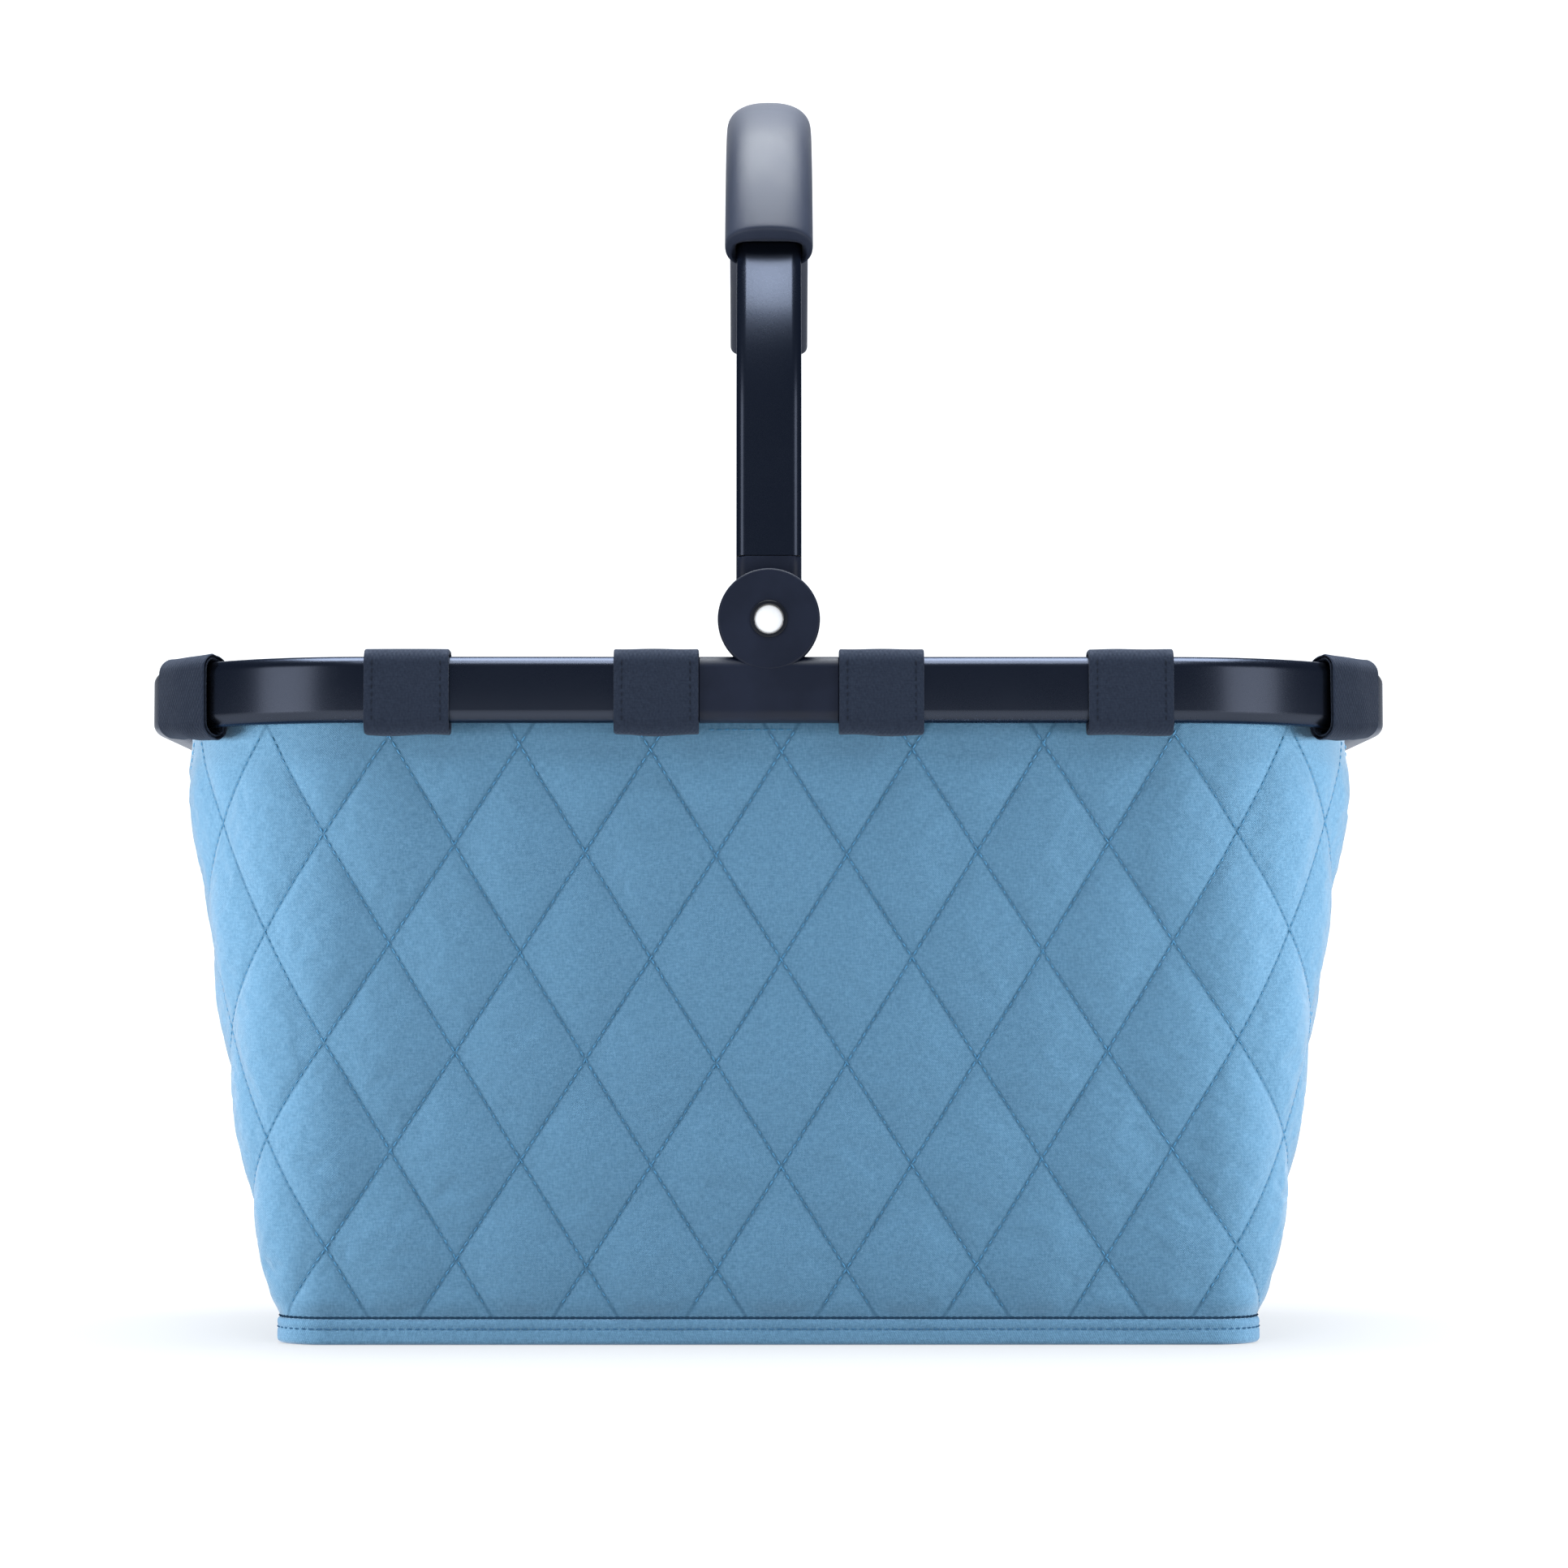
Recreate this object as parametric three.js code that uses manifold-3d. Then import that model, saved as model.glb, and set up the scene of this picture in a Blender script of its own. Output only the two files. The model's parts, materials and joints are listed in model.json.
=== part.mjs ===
// Carry basket: a quilted fabric bag hung in a rim frame of flat oval tube, with one arched handle that
// swings on a hinge at the middle of each long side.
// Millimetres, +Z up, +X along the long side, -Y is the front, origin at the middle of the base.

import * as THREE from "three";
import { mergeVertices } from "three/addons/utils/BufferGeometryUtils.js";
import Module from "manifold-3d";

const wasm = await Module();
wasm.setup();

// ---------------------------------------------------------------- driving dimensions

const GAP = 0.3; // clearance between pieces that touch

// Rim frame
const RIM_LENGTH = 480; // outside, along X
const RIM_DEPTH = 280; // outside, along Y
const RIM_TOP = 257; // top of the tube above the floor
const RIM_CORNER = 90; // outside radius of the four bends, seen from above
const TUBE_HEIGHT = 24.5;
const TUBE_THICK = 12;
const TUBE_EDGE = 4.5; // rounding of the tube's section
const TUBE_WALL = 1.4;

// Hinge brackets
const BRACKET_WIDTH = 52.4;
const SPIGOT_LENGTH = 28; // plugs into each tube
const SPIGOT_EDGE = 2.6;
const DISC_RADIUS = 19;
const DISC_FILLET = 2; // between the disc and the panel under it
const LUG_THICK = 5.4;
const LUG_BEVEL = 0.8;
const LUG_ROOT = 9; // how far the lug runs down behind the face of the panel
const FOOT_CLEAR = 1.5; // between the round foot of the handle and the bracket under it

// Pivot
const PIVOT_HOLE = 5.55; // radius of the hole through the hollow rivet
const PIVOT_SHAFT = 6.2;
const PIVOT_HEAD = 6.9;
const PIVOT_HEAD_THICK = 0.6;
const PIN_SUNK = 0.4; // ends of the nylon pin, in from the faces of the hinge
const WASHER_RADIUS = 11.5;
const WASHER_THICK = 1;

// Handle
const HANDLE_WIDTH = 24.4;
const HANDLE_THICK = 10;
const HANDLE_EDGE = 3.8;
const HANDLE_WALL = 1.3;
const HANDLE_RISE = 77.6; // straight part of each leg, from the hinge axis to the arch
const FITTING_RISE = 24.3; // visible part of the end fitting above the hinge axis
const FITTING_PLUG = 24; // part of the end fitting inside the tube
const FITTING_BEVEL = 2;
const GRIP_HALF_SWEEP = 60.2; // degrees either side of the top of the arch
const GRIP_BESIDE = 4.5; // thickness of the grip on each side of the tube
const GRIP_OVER = 11; // and outside it
const GRIP_UNDER = 2.6; // and inside it
const GRIP_CLEAR = 0.5;
const GRIP_ROUNDNESS = 2.4; // exponent of the grip's super-elliptic section

// Bag
const BASE_LENGTH = 374.5;
const BASE_DEPTH = 200;
const BASE_CORNER = 20;
const BINDING_HEIGHT = 10;
const BINDING_THICK = 4.6;
const BINDING_PROUD = 1; // the binding stands out from the quilted panels
const PANEL_THICK = 4;
const SEAM_GAP = 0.4; // between the two quilted panels, at the short ends
const BAG_CLEAR_OF_TUBE = 1.3; // widest line of the bag, inside the tube's inner face
const WIDEST_BELOW_TUBE = 6.5; // widest line of the bag, under the tube
const TUCK_HEIGHT = 2; // over this height the panels step in behind the tabs
const HEM_BELOW_RIM = 13; // top of the quilted panels, under the top of the tube
const HEM_HEIGHT = 5;
const LINING_THICK = 1;
const BASE_PANEL_THICK = 2.4;
const BOARD_THICK = 3;

// Tabs
const TAB_WIDTH = 30.5;
const TAB_THICK = 2;
const TAB_CLEAR = 0.6; // between tab and tube at the sides
const TAB_OVER_TOP = 2.7; // outside of the tab above the tube
const TAB_UNDER = 4.4; // outside of the tab below the tube
const TAB_EDGE = 5.5;
const CORNER_TAB_START = 42; // degrees round the bend, from the long side
const CORNER_TAB_END = 63.5;

// Facets
const EDGE_STEPS = 2; // per rounded edge of a section
const BEND_STEPS = 10; // per quarter bend of the rim
const ARCH_STEPS = 20;
const GRIP_STEPS = 13;
const GRIP_EDGE_STEPS = 4;
const TAB_STEPS = 2;
const BAG_CORNER_STEPS = 6;
const ROUND_STEPS = 32;

// ---------------------------------------------------------------- derived places

const HINGE_Z = RIM_TOP + FOOT_CLEAR + HANDLE_WIDTH / 2;
const TUBE_BOTTOM = RIM_TOP - TUBE_HEIGHT;
const TUBE_MIDDLE = RIM_TOP - TUBE_HEIGHT / 2;
const BEND_X = RIM_LENGTH / 2 - RIM_CORNER; // centres of the bends
const BEND_Y = RIM_DEPTH / 2 - RIM_CORNER;
const FRONT = -RIM_DEPTH / 2; // front face of the rim, bracket and disc
const LUG_BACK = FRONT + LUG_THICK;
const WASHER_FRONT = LUG_BACK + GAP;
const LEG_FRONT = WASHER_FRONT + WASHER_THICK + GAP;
const LEG_BACK = LEG_FRONT + HANDLE_THICK;
const ARCH_RADIUS = -(LEG_FRONT + LEG_BACK) / 2; // middle of the handle tube
const ARCH_Z = HINGE_Z + HANDLE_RISE;
const LEG_BOTTOM = HINGE_Z + FITTING_RISE + GAP;
const BORE = PIVOT_SHAFT + GAP;

// ---------------------------------------------------------------- materials

const material = (color, roughness, metalness) =>
  new THREE.MeshStandardMaterial({ color, roughness, metalness });

const anodised = material(0x1b2230, 0.25, 0.9);
const bracketPlastic = material(0x2a3040, 0.5, 0);
const rivetMetal = material(0x1a1c22, 0.35, 0.9);
const washerPlastic = material(0x15171c, 0.6, 0);
const pinNylon = material(0xf2f2ef, 0.5, 0);
const gripFoam = material(0x3a3f4c, 0.8, 0);
const quiltedFabric = material(0x5a8cb2, 0.95, 0);
const bindingFabric = material(0x5386ad, 0.95, 0);
const liningFabric = material(0x2c3038, 0.95, 0);
const webbing = material(0x343b49, 0.9, 0);
const boardPlastic = material(0x202226, 0.7, 0);

// ---------------------------------------------------------------- shapes

const degrees = (value) => THREE.MathUtils.degToRad(value);

// Points round a rounded rectangle centred on (x, y), anticlockwise from the right-hand side.
function roundedRect(width, height, radius, steps, x = 0, y = 0) {
  const points = [];
  for (let corner = 0; corner < 4; corner++) {
    const right = corner === 0 || corner === 3 ? 1 : -1;
    const upper = corner < 2 ? 1 : -1;
    for (let step = 0; step <= steps; step++) {
      const angle = ((corner + step / steps) * Math.PI) / 2;
      const across = right * (width / 2 - radius) + radius * Math.cos(angle);
      const up = upper * (height / 2 - radius) + radius * Math.sin(angle);
      points.push(new THREE.Vector2(x + across, y + up));
    }
  }
  return points;
}

// Points round a super-ellipse centred on (0, y), |x/a|^n + |y/b|^n = 1, at equal steps of angle.
function superEllipse(width, height, exponent, count, y) {
  return Array.from({ length: count }, (_, index) => {
    const angle = (index / count) * 2 * Math.PI;
    const c = Math.cos(angle);
    const s = Math.sin(angle);
    const reach = (Math.abs(c) ** exponent + Math.abs(s) ** exponent) ** (-1 / exponent);
    return new THREE.Vector2((width / 2) * reach * c, y + (height / 2) * reach * s);
  });
}

// Triangles of a flat ring of points, turning the same way as the ring does.
function capTriangles(ring) {
  const normal = new THREE.Vector3();
  ring.forEach((point, index) => {
    const next = ring[(index + 1) % ring.length];
    normal.add(new THREE.Vector3().crossVectors(point, next));
  });
  normal.normalize();
  const across = new THREE.Vector3().subVectors(ring[1], ring[0]).normalize();
  const up = new THREE.Vector3().crossVectors(normal, across);
  const flat = ring.map((point) => new THREE.Vector2(point.dot(across), point.dot(up)));
  return THREE.ShapeUtils.triangulateShape(flat, []).map(([a, b, c]) => {
    const turn = flat[b].clone().sub(flat[a]).cross(flat[c].clone().sub(flat[a]));
    return turn > 0 ? [a, b, c] : [a, c, b];
  });
}

// A closed body through rings of equally many points. Neighbouring rings are joined by a skin. The two
// ends get a flat cap, or, where the run of rings returns to its start, are joined to each other.
function loft(rings, returns = false) {
  const count = rings[0].length;
  const faces = [];
  const spans = returns ? rings.length : rings.length - 1;
  for (let span = 0; span < spans; span++) {
    const here = span * count;
    const there = ((span + 1) % rings.length) * count;
    for (let index = 0; index < count; index++) {
      const next = (index + 1) % count;
      faces.push([here + index, here + next, there + next]);
      faces.push([here + index, there + next, there + index]);
    }
  }
  if (!returns) {
    const last = (rings.length - 1) * count;
    capTriangles(rings[0]).forEach(([a, b, c]) => faces.push([a, c, b]));
    capTriangles(rings.at(-1)).forEach(([a, b, c]) => faces.push([last + a, last + b, last + c]));
  }
  const points = rings.flat();
  const volume = faces.reduce(
    (sum, [a, b, c]) => sum + points[a].dot(new THREE.Vector3().crossVectors(points[b], points[c])),
    0,
  );
  const outward = volume > 0 ? faces : faces.map(([a, b, c]) => [a, c, b]);
  const geometry = new THREE.BufferGeometry();
  geometry.setAttribute("position", new THREE.Float32BufferAttribute(points.flatMap((p) => p.toArray()), 3));
  geometry.setIndex(outward.flat());
  geometry.computeVertexNormals();
  return geometry;
}

// A tube wall between outer and inner rings at the same stations.
const hollowLoft = (outer, inner) => loft([...outer, ...inner.toReversed()], true);

// A closed geometry as a solid that can be joined and cut.
function toSolid(geometry) {
  const bare = geometry.clone();
  bare.deleteAttribute("normal");
  bare.deleteAttribute("uv");
  const merged = mergeVertices(bare, 1e-4);
  return new wasm.Manifold(
    new wasm.Mesh({
      numProp: 3,
      vertProperties: new Float32Array(merged.attributes.position.array),
      triVerts: new Uint32Array(merged.index.array),
    }),
  );
}

function toGeometry(solid) {
  const { vertProperties, triVerts } = solid.getMesh();
  const geometry = new THREE.BufferGeometry();
  geometry.setAttribute("position", new THREE.BufferAttribute(vertProperties, 3));
  geometry.setIndex(new THREE.BufferAttribute(triVerts, 1));
  geometry.computeVertexNormals();
  return geometry;
}

function piece(name, geometry, finish) {
  const mesh = new THREE.Mesh(geometry, finish);
  mesh.name = name;
  return mesh;
}

// A plate standing in the XZ plane, its front face at y = front, with its edges bevelled.
function uprightPlate(shape, front, thick, bevel) {
  const plate = new THREE.ExtrudeGeometry(shape, {
    depth: thick - 2 * bevel,
    bevelThickness: bevel,
    bevelSize: bevel,
    bevelOffset: -bevel,
    bevelSegments: 2,
    curveSegments: ROUND_STEPS / 2,
  });
  plate.rotateX(Math.PI / 2);
  plate.translate(0, front + thick - bevel, 0);
  return plate;
}

// A cylinder along Y through the hinge.
function hingeCylinder(radius, from, to) {
  const cylinder = new THREE.CylinderGeometry(radius, radius, to - from, ROUND_STEPS);
  cylinder.translate(0, (from + to) / 2, HINGE_Z);
  return cylinder;
}

// A turned ring on the hinge axis: its profile is a list of [radius, y] that closes on itself.
function hingeRing(profile) {
  const points = [...profile, profile[0]].map(([radius, y]) => new THREE.Vector2(radius, y));
  const ring = new THREE.LatheGeometry(points, ROUND_STEPS);
  ring.translate(0, 0, HINGE_Z);
  return ring;
}

// ---------------------------------------------------------------- rim frame

// A section ring of the rim. Section points are (distance inwards from the rim's outside, height). The
// station is the centre of the bend, or a point in line with it, and the direction the outside faces.
function rimRing(section, { x, y, angle }, side = 1) {
  return section.map((point) => {
    const reach = RIM_CORNER - point.x;
    const px = side * (x + reach * Math.cos(angle));
    return new THREE.Vector3(px, y + reach * Math.sin(angle), point.y);
  });
}

function bendStations(y, from, to, steps) {
  return Array.from({ length: steps + 1 }, (_, step) => ({
    x: BEND_X,
    y,
    angle: from + ((to - from) * step) / steps,
  }));
}

const tubeSection = (inset) =>
  roundedRect(
    TUBE_THICK - 2 * inset,
    TUBE_HEIGHT - 2 * inset,
    TUBE_EDGE - inset,
    EDGE_STEPS,
    TUBE_THICK / 2,
    TUBE_MIDDLE,
  );

function frameTube(name, side) {
  const end = BRACKET_WIDTH / 2 + GAP;
  const stations = [
    { x: end, y: -BEND_Y, angle: -Math.PI / 2 },
    ...bendStations(-BEND_Y, -Math.PI / 2, 0, BEND_STEPS),
    ...bendStations(BEND_Y, 0, Math.PI / 2, BEND_STEPS),
    { x: end, y: BEND_Y, angle: Math.PI / 2 },
  ];
  const outer = stations.map((station) => rimRing(tubeSection(0), station, side));
  const inner = stations.map((station) => rimRing(tubeSection(TUBE_WALL), station, side));
  return piece(name, hollowLoft(outer, inner), anodised);
}

// ---------------------------------------------------------------- hinges

// Outline of the lug: a disc on the hinge axis that runs into the panel below it with concave fillets.
function lugShape() {
  const filletZ = RIM_TOP + DISC_FILLET;
  const reach = DISC_RADIUS + DISC_FILLET;
  const filletX = Math.sqrt(reach ** 2 - (HINGE_Z - filletZ) ** 2);
  const touch = Math.atan2(HINGE_Z - filletZ, filletX); // from the fillet's centre up to the disc's
  const root = RIM_TOP - LUG_ROOT;
  const shape = new THREE.Shape();
  shape.moveTo(-filletX, root);
  shape.lineTo(filletX, root);
  shape.absarc(filletX, filletZ, DISC_FILLET, -Math.PI / 2, -Math.PI - touch, true);
  shape.absarc(0, HINGE_Z, DISC_RADIUS, -touch, Math.PI + touch, false);
  shape.absarc(-filletX, filletZ, DISC_FILLET, touch, -Math.PI / 2, true);
  shape.closePath();
  return shape;
}

// The moulded bracket: a panel flush with the tubes, a spigot into each of them, and the hinge lug.
function bracket(name) {
  const straight = (x) => ({ x, y: -BEND_Y, angle: -Math.PI / 2 });
  const run = (section, half) => loft([rimRing(section, straight(-half)), rimRing(section, straight(half))]);
  const play = TUBE_WALL + GAP;
  const spigotSection = roundedRect(
    TUBE_THICK - 2 * play,
    TUBE_HEIGHT - 2 * play,
    SPIGOT_EDGE,
    EDGE_STEPS,
    TUBE_THICK / 2,
    TUBE_MIDDLE,
  );
  const panel = toSolid(run(tubeSection(0), BRACKET_WIDTH / 2));
  const spigots = toSolid(run(spigotSection, BRACKET_WIDTH / 2 + SPIGOT_LENGTH));
  const lug = toSolid(uprightPlate(lugShape(), FRONT, LUG_THICK, LUG_BEVEL));
  const bore = toSolid(hingeCylinder(BORE, FRONT - 1, LUG_BACK + 1));
  return piece(name, toGeometry(panel.add(spigots).add(lug).subtract(bore)), bracketPlastic);
}

// The hollow rivet: a sleeve with a head on the disc and one behind the handle's fitting.
function rivet(name) {
  const headFront = FRONT - GAP - PIVOT_HEAD_THICK;
  const headBack = LEG_BACK + GAP + PIVOT_HEAD_THICK;
  const profile = [
    [PIVOT_HOLE, headFront],
    [PIVOT_HEAD, headFront],
    [PIVOT_HEAD, FRONT - GAP],
    [PIVOT_SHAFT, FRONT - GAP],
    [PIVOT_SHAFT, LEG_BACK + GAP],
    [PIVOT_HEAD, LEG_BACK + GAP],
    [PIVOT_HEAD, headBack],
    [PIVOT_HOLE, headBack],
  ];
  return piece(name, hingeRing(profile), rivetMetal);
}

// The nylon pin inside the hollow rivet.
function pin(name) {
  const cylinder = hingeCylinder(PIVOT_HOLE - GAP, FRONT + PIN_SUNK, LEG_BACK - PIN_SUNK);
  return piece(name, cylinder, pinNylon);
}

function washer(name) {
  const back = WASHER_FRONT + WASHER_THICK;
  const profile = [
    [BORE, WASHER_FRONT],
    [WASHER_RADIUS, WASHER_FRONT],
    [WASHER_RADIUS, back],
    [BORE, back],
  ];
  return piece(name, hingeRing(profile), washerPlastic);
}

// ---------------------------------------------------------------- handle

// A section ring of the handle. Section points are (x, distance outwards from the tube's middle).
function archRing(section, { z, angle }) {
  return section.map((point) => {
    const reach = ARCH_RADIUS + point.y;
    return new THREE.Vector3(point.x, reach * Math.sin(angle), z + reach * Math.cos(angle));
  });
}

function archStations(halfSweep, steps) {
  return Array.from({ length: steps + 1 }, (_, step) => ({
    z: ARCH_Z,
    angle: halfSweep * ((2 * step) / steps - 1),
  }));
}

const handleSection = (inset, edge, steps) =>
  roundedRect(HANDLE_WIDTH - 2 * inset, HANDLE_THICK - 2 * inset, edge, steps);

function handleTube(name) {
  const stations = [
    { z: LEG_BOTTOM, angle: -Math.PI / 2 },
    ...archStations(Math.PI / 2, ARCH_STEPS),
    { z: LEG_BOTTOM, angle: Math.PI / 2 },
  ];
  const outside = handleSection(0, HANDLE_EDGE, EDGE_STEPS);
  const inside = handleSection(HANDLE_WALL, HANDLE_EDGE - HANDLE_WALL, EDGE_STEPS);
  const outer = stations.map((station) => archRing(outside, station));
  const inner = stations.map((station) => archRing(inside, station));
  return piece(name, hollowLoft(outer, inner), anodised);
}

// The end fitting: flush with the tube, round below the hinge axis, with a plug up inside the tube.
function handleFitting(name) {
  const half = HANDLE_WIDTH / 2;
  const top = HINGE_Z + FITTING_RISE;
  const shape = new THREE.Shape();
  shape.moveTo(half, top);
  shape.lineTo(-half, top);
  shape.absarc(0, HINGE_Z, half, Math.PI, 2 * Math.PI, false);
  shape.closePath();
  const play = HANDLE_WALL + GAP;
  const plugSection = handleSection(play, HANDLE_EDGE - play, EDGE_STEPS);
  const plugRing = (z) => archRing(plugSection, { z, angle: -Math.PI / 2 });
  const body = toSolid(uprightPlate(shape, LEG_FRONT, HANDLE_THICK, FITTING_BEVEL));
  const plug = toSolid(loft([plugRing(top - FITTING_RISE / 2), plugRing(top + FITTING_PLUG)]));
  const bore = toSolid(hingeCylinder(BORE, LEG_FRONT - 1, LEG_BACK + 1));
  return piece(name, toGeometry(body.add(plug).subtract(bore)), bracketPlastic);
}

function grip(name) {
  const stations = archStations(degrees(GRIP_HALF_SWEEP), GRIP_STEPS);
  const hole = handleSection(-GRIP_CLEAR, HANDLE_EDGE + GRIP_CLEAR, GRIP_EDGE_STEPS);
  const outside = superEllipse(
    HANDLE_WIDTH + 2 * GRIP_BESIDE,
    HANDLE_THICK + GRIP_OVER + GRIP_UNDER,
    GRIP_ROUNDNESS,
    hole.length,
    (GRIP_OVER - GRIP_UNDER) / 2,
  );
  const outer = stations.map((station) => archRing(outside, station));
  const inner = stations.map((station) => archRing(hole, station));
  return piece(name, hollowLoft(outer, inner), gripFoam);
}

// ---------------------------------------------------------------- bag

const panelsTop = RIM_TOP - HEM_BELOW_RIM;
const widestZ = TUBE_BOTTOM - WIDEST_BELOW_TUBE;
const rimOutline = { x: RIM_LENGTH / 2, y: RIM_DEPTH / 2, r: RIM_CORNER };
const baseOutline = { x: BASE_LENGTH / 2, y: BASE_DEPTH / 2, r: BASE_CORNER };

const inset = ({ x, y, r }, by) => ({ x: x - by, y: y - by, r: r - by });

// The bag's outside at the heights where its slope changes: it widens evenly from the binding to just
// under the tube, then steps in behind the tabs and goes up straight.
const bagLevels = [
  { z: BINDING_HEIGHT + GAP, ...inset(baseOutline, BINDING_PROUD) },
  { z: widestZ, ...inset(rimOutline, TUBE_THICK + BAG_CLEAR_OF_TUBE) },
  { z: widestZ + TUCK_HEIGHT, ...inset(rimOutline, TUBE_THICK + TAB_CLEAR + TAB_THICK + GAP) },
  { z: panelsTop, ...inset(rimOutline, TUBE_THICK + TAB_CLEAR + TAB_THICK + GAP) },
];

// Points round a rounded rectangle of half length x and half depth y, at height z.
const outlineRing = (outline, z) =>
  roundedRect(2 * outline.x, 2 * outline.y, outline.r, BAG_CORNER_STEPS).map(
    (point) => new THREE.Vector3(point.x, point.y, z),
  );

// Half of the same outline, from the middle of one short end round the front to the other.
function frontHalf(outline, z) {
  const round = outlineRing(outline, z);
  const seam = (side) => new THREE.Vector3(side * outline.x, -SEAM_GAP / 2, z);
  return [seam(-1), ...round.slice(round.length / 2), seam(1)];
}

// One quilted panel: it covers the front and half of each short end.
function quiltedPanel(name) {
  const outside = bagLevels.map((level) => frontHalf(level, level.z));
  const inside = bagLevels.map((level) => frontHalf(inset(level, PANEL_THICK), level.z)).toReversed();
  const upAndDown = [...outside, ...inside];
  const rings = outside[0].map((_, index) => upAndDown.map((level) => level[index]));
  return piece(name, loft(rings), quiltedFabric);
}

function lining(name) {
  const floor = BASE_PANEL_THICK + BOARD_THICK + 2 * GAP;
  const outsideInset = PANEL_THICK + GAP;
  const outside = [{ ...bagLevels[0], z: floor }, ...bagLevels];
  const inside = [{ ...bagLevels[0], z: floor + LINING_THICK }, ...bagLevels].toReversed();
  const rings = [
    ...outside.map((level) => outlineRing(inset(level, outsideInset), level.z)),
    ...inside.map((level) => outlineRing(inset(level, outsideInset + LINING_THICK), level.z)),
  ];
  return piece(name, loft(rings), liningFabric);
}

// A band of constant section that follows an outline.
function band(name, outline, thick, low, high, finish) {
  const outer = [outlineRing(outline, low), outlineRing(outline, high)];
  const inner = [outlineRing(inset(outline, thick), low), outlineRing(inset(outline, thick), high)];
  return piece(name, hollowLoft(outer, inner), finish);
}

function sheet(name, outline, low, thick, finish) {
  return piece(name, loft([outlineRing(outline, low), outlineRing(outline, low + thick)]), finish);
}

// ---------------------------------------------------------------- tabs

// The loop of a tab round the tube, in the rim's section: outside and inside of the webbing.
const tabLoop = (thick) =>
  roundedRect(
    TUBE_THICK + 2 * (TAB_CLEAR + thick),
    TUBE_HEIGHT + TAB_OVER_TOP + TAB_UNDER - 2 * (TAB_THICK - thick),
    TAB_EDGE - (TAB_THICK - thick),
    EDGE_STEPS,
    TUBE_THICK / 2,
    TUBE_MIDDLE + (TAB_OVER_TOP - TAB_UNDER) / 2,
  );

function tab(name, stations, side) {
  const outer = stations.map((station) => rimRing(tabLoop(TAB_THICK), station, side));
  const inner = stations.map((station) => rimRing(tabLoop(0), station, side));
  return piece(name, hollowLoft(outer, inner), webbing);
}

function straightTab(name, centre) {
  const at = (x) => ({ x, y: -BEND_Y, angle: -Math.PI / 2 });
  return tab(name, [at(centre - TAB_WIDTH / 2), at(centre + TAB_WIDTH / 2)], 1);
}

function cornerTab(name, side) {
  const from = degrees(CORNER_TAB_START) - Math.PI / 2;
  const to = degrees(CORNER_TAB_END) - Math.PI / 2;
  return tab(name, bendStations(-BEND_Y, from, to, TAB_STEPS), side);
}

// ---------------------------------------------------------------- assembly

const innerTab = BRACKET_WIDTH / 2 + GAP + TAB_WIDTH / 2; // beside the bracket
const outerTab = BEND_X - 2 * GAP - TAB_WIDTH / 2; // where the bend begins
const tabCentres = [-outerTab, -innerTab, innerTab, outerTab];

// All that the front and back have alike. The back is the front turned about Z.
function longSide(end) {
  const group = new THREE.Group();
  group.add(bracket(`hinge_bracket_${end}`));
  group.add(rivet(`pivot_rivet_${end}`));
  group.add(pin(`pivot_pin_${end}`));
  group.add(washer(`friction_washer_${end}`));
  group.add(handleFitting(`handle_fitting_${end}`));
  group.add(quiltedPanel(`quilted_panel_${end}`));
  tabCentres.forEach((centre, index) => group.add(straightTab(`tab_${end}_${index + 1}`, centre)));
  group.add(cornerTab(`corner_tab_${end}_1`, -1));
  group.add(cornerTab(`corner_tab_${end}_2`, 1));
  if (end === "back") group.rotation.z = Math.PI;
  return group;
}

const bindingInside = inset(baseOutline, BINDING_THICK + GAP);

const group = new THREE.Group();
group.add(frameTube("frame_tube_left", -1));
group.add(frameTube("frame_tube_right", 1));
group.add(longSide("front"));
group.add(longSide("back"));
group.add(handleTube("handle_tube"));
group.add(grip("grip"));
group.add(lining("lining"));
group.add(
  band("top_hem", bagLevels[3], PANEL_THICK + GAP + LINING_THICK, panelsTop + GAP, panelsTop + HEM_HEIGHT, webbing),
);
group.add(band("base_binding", baseOutline, BINDING_THICK, 0, BINDING_HEIGHT, bindingFabric));
group.add(sheet("base_panel", bindingInside, 0, BASE_PANEL_THICK, bindingFabric));
group.add(sheet("base_board", bindingInside, BASE_PANEL_THICK + GAP, BOARD_THICK, boardPlastic));

export default group;
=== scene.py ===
import json
import math

import bmesh
import bpy
import numpy as np
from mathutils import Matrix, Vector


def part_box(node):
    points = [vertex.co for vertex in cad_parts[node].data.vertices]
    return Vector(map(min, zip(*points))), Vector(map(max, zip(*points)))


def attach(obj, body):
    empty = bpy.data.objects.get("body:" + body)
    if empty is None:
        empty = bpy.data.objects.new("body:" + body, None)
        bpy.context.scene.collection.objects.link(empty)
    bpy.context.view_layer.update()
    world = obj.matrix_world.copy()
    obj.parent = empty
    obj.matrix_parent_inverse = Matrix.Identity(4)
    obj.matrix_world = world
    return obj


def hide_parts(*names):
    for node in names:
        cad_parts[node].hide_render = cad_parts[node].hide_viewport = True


# Carry basket: a quilted bag hung in a rim frame of flat oval tube, with an arched handle that swings on
# a hinge at the middle of each long side. Shapes are worked out in millimetres and scaled to metres when
# they become meshes. +X runs along the rim, -Y is the front, +Z is up.

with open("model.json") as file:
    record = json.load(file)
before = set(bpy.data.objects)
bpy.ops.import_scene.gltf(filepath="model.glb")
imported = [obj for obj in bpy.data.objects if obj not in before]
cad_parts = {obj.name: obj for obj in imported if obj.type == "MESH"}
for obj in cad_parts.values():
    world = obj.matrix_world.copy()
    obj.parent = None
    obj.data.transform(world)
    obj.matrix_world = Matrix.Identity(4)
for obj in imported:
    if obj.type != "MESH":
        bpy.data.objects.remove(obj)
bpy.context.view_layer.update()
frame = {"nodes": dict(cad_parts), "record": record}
MM = 0.001

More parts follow.
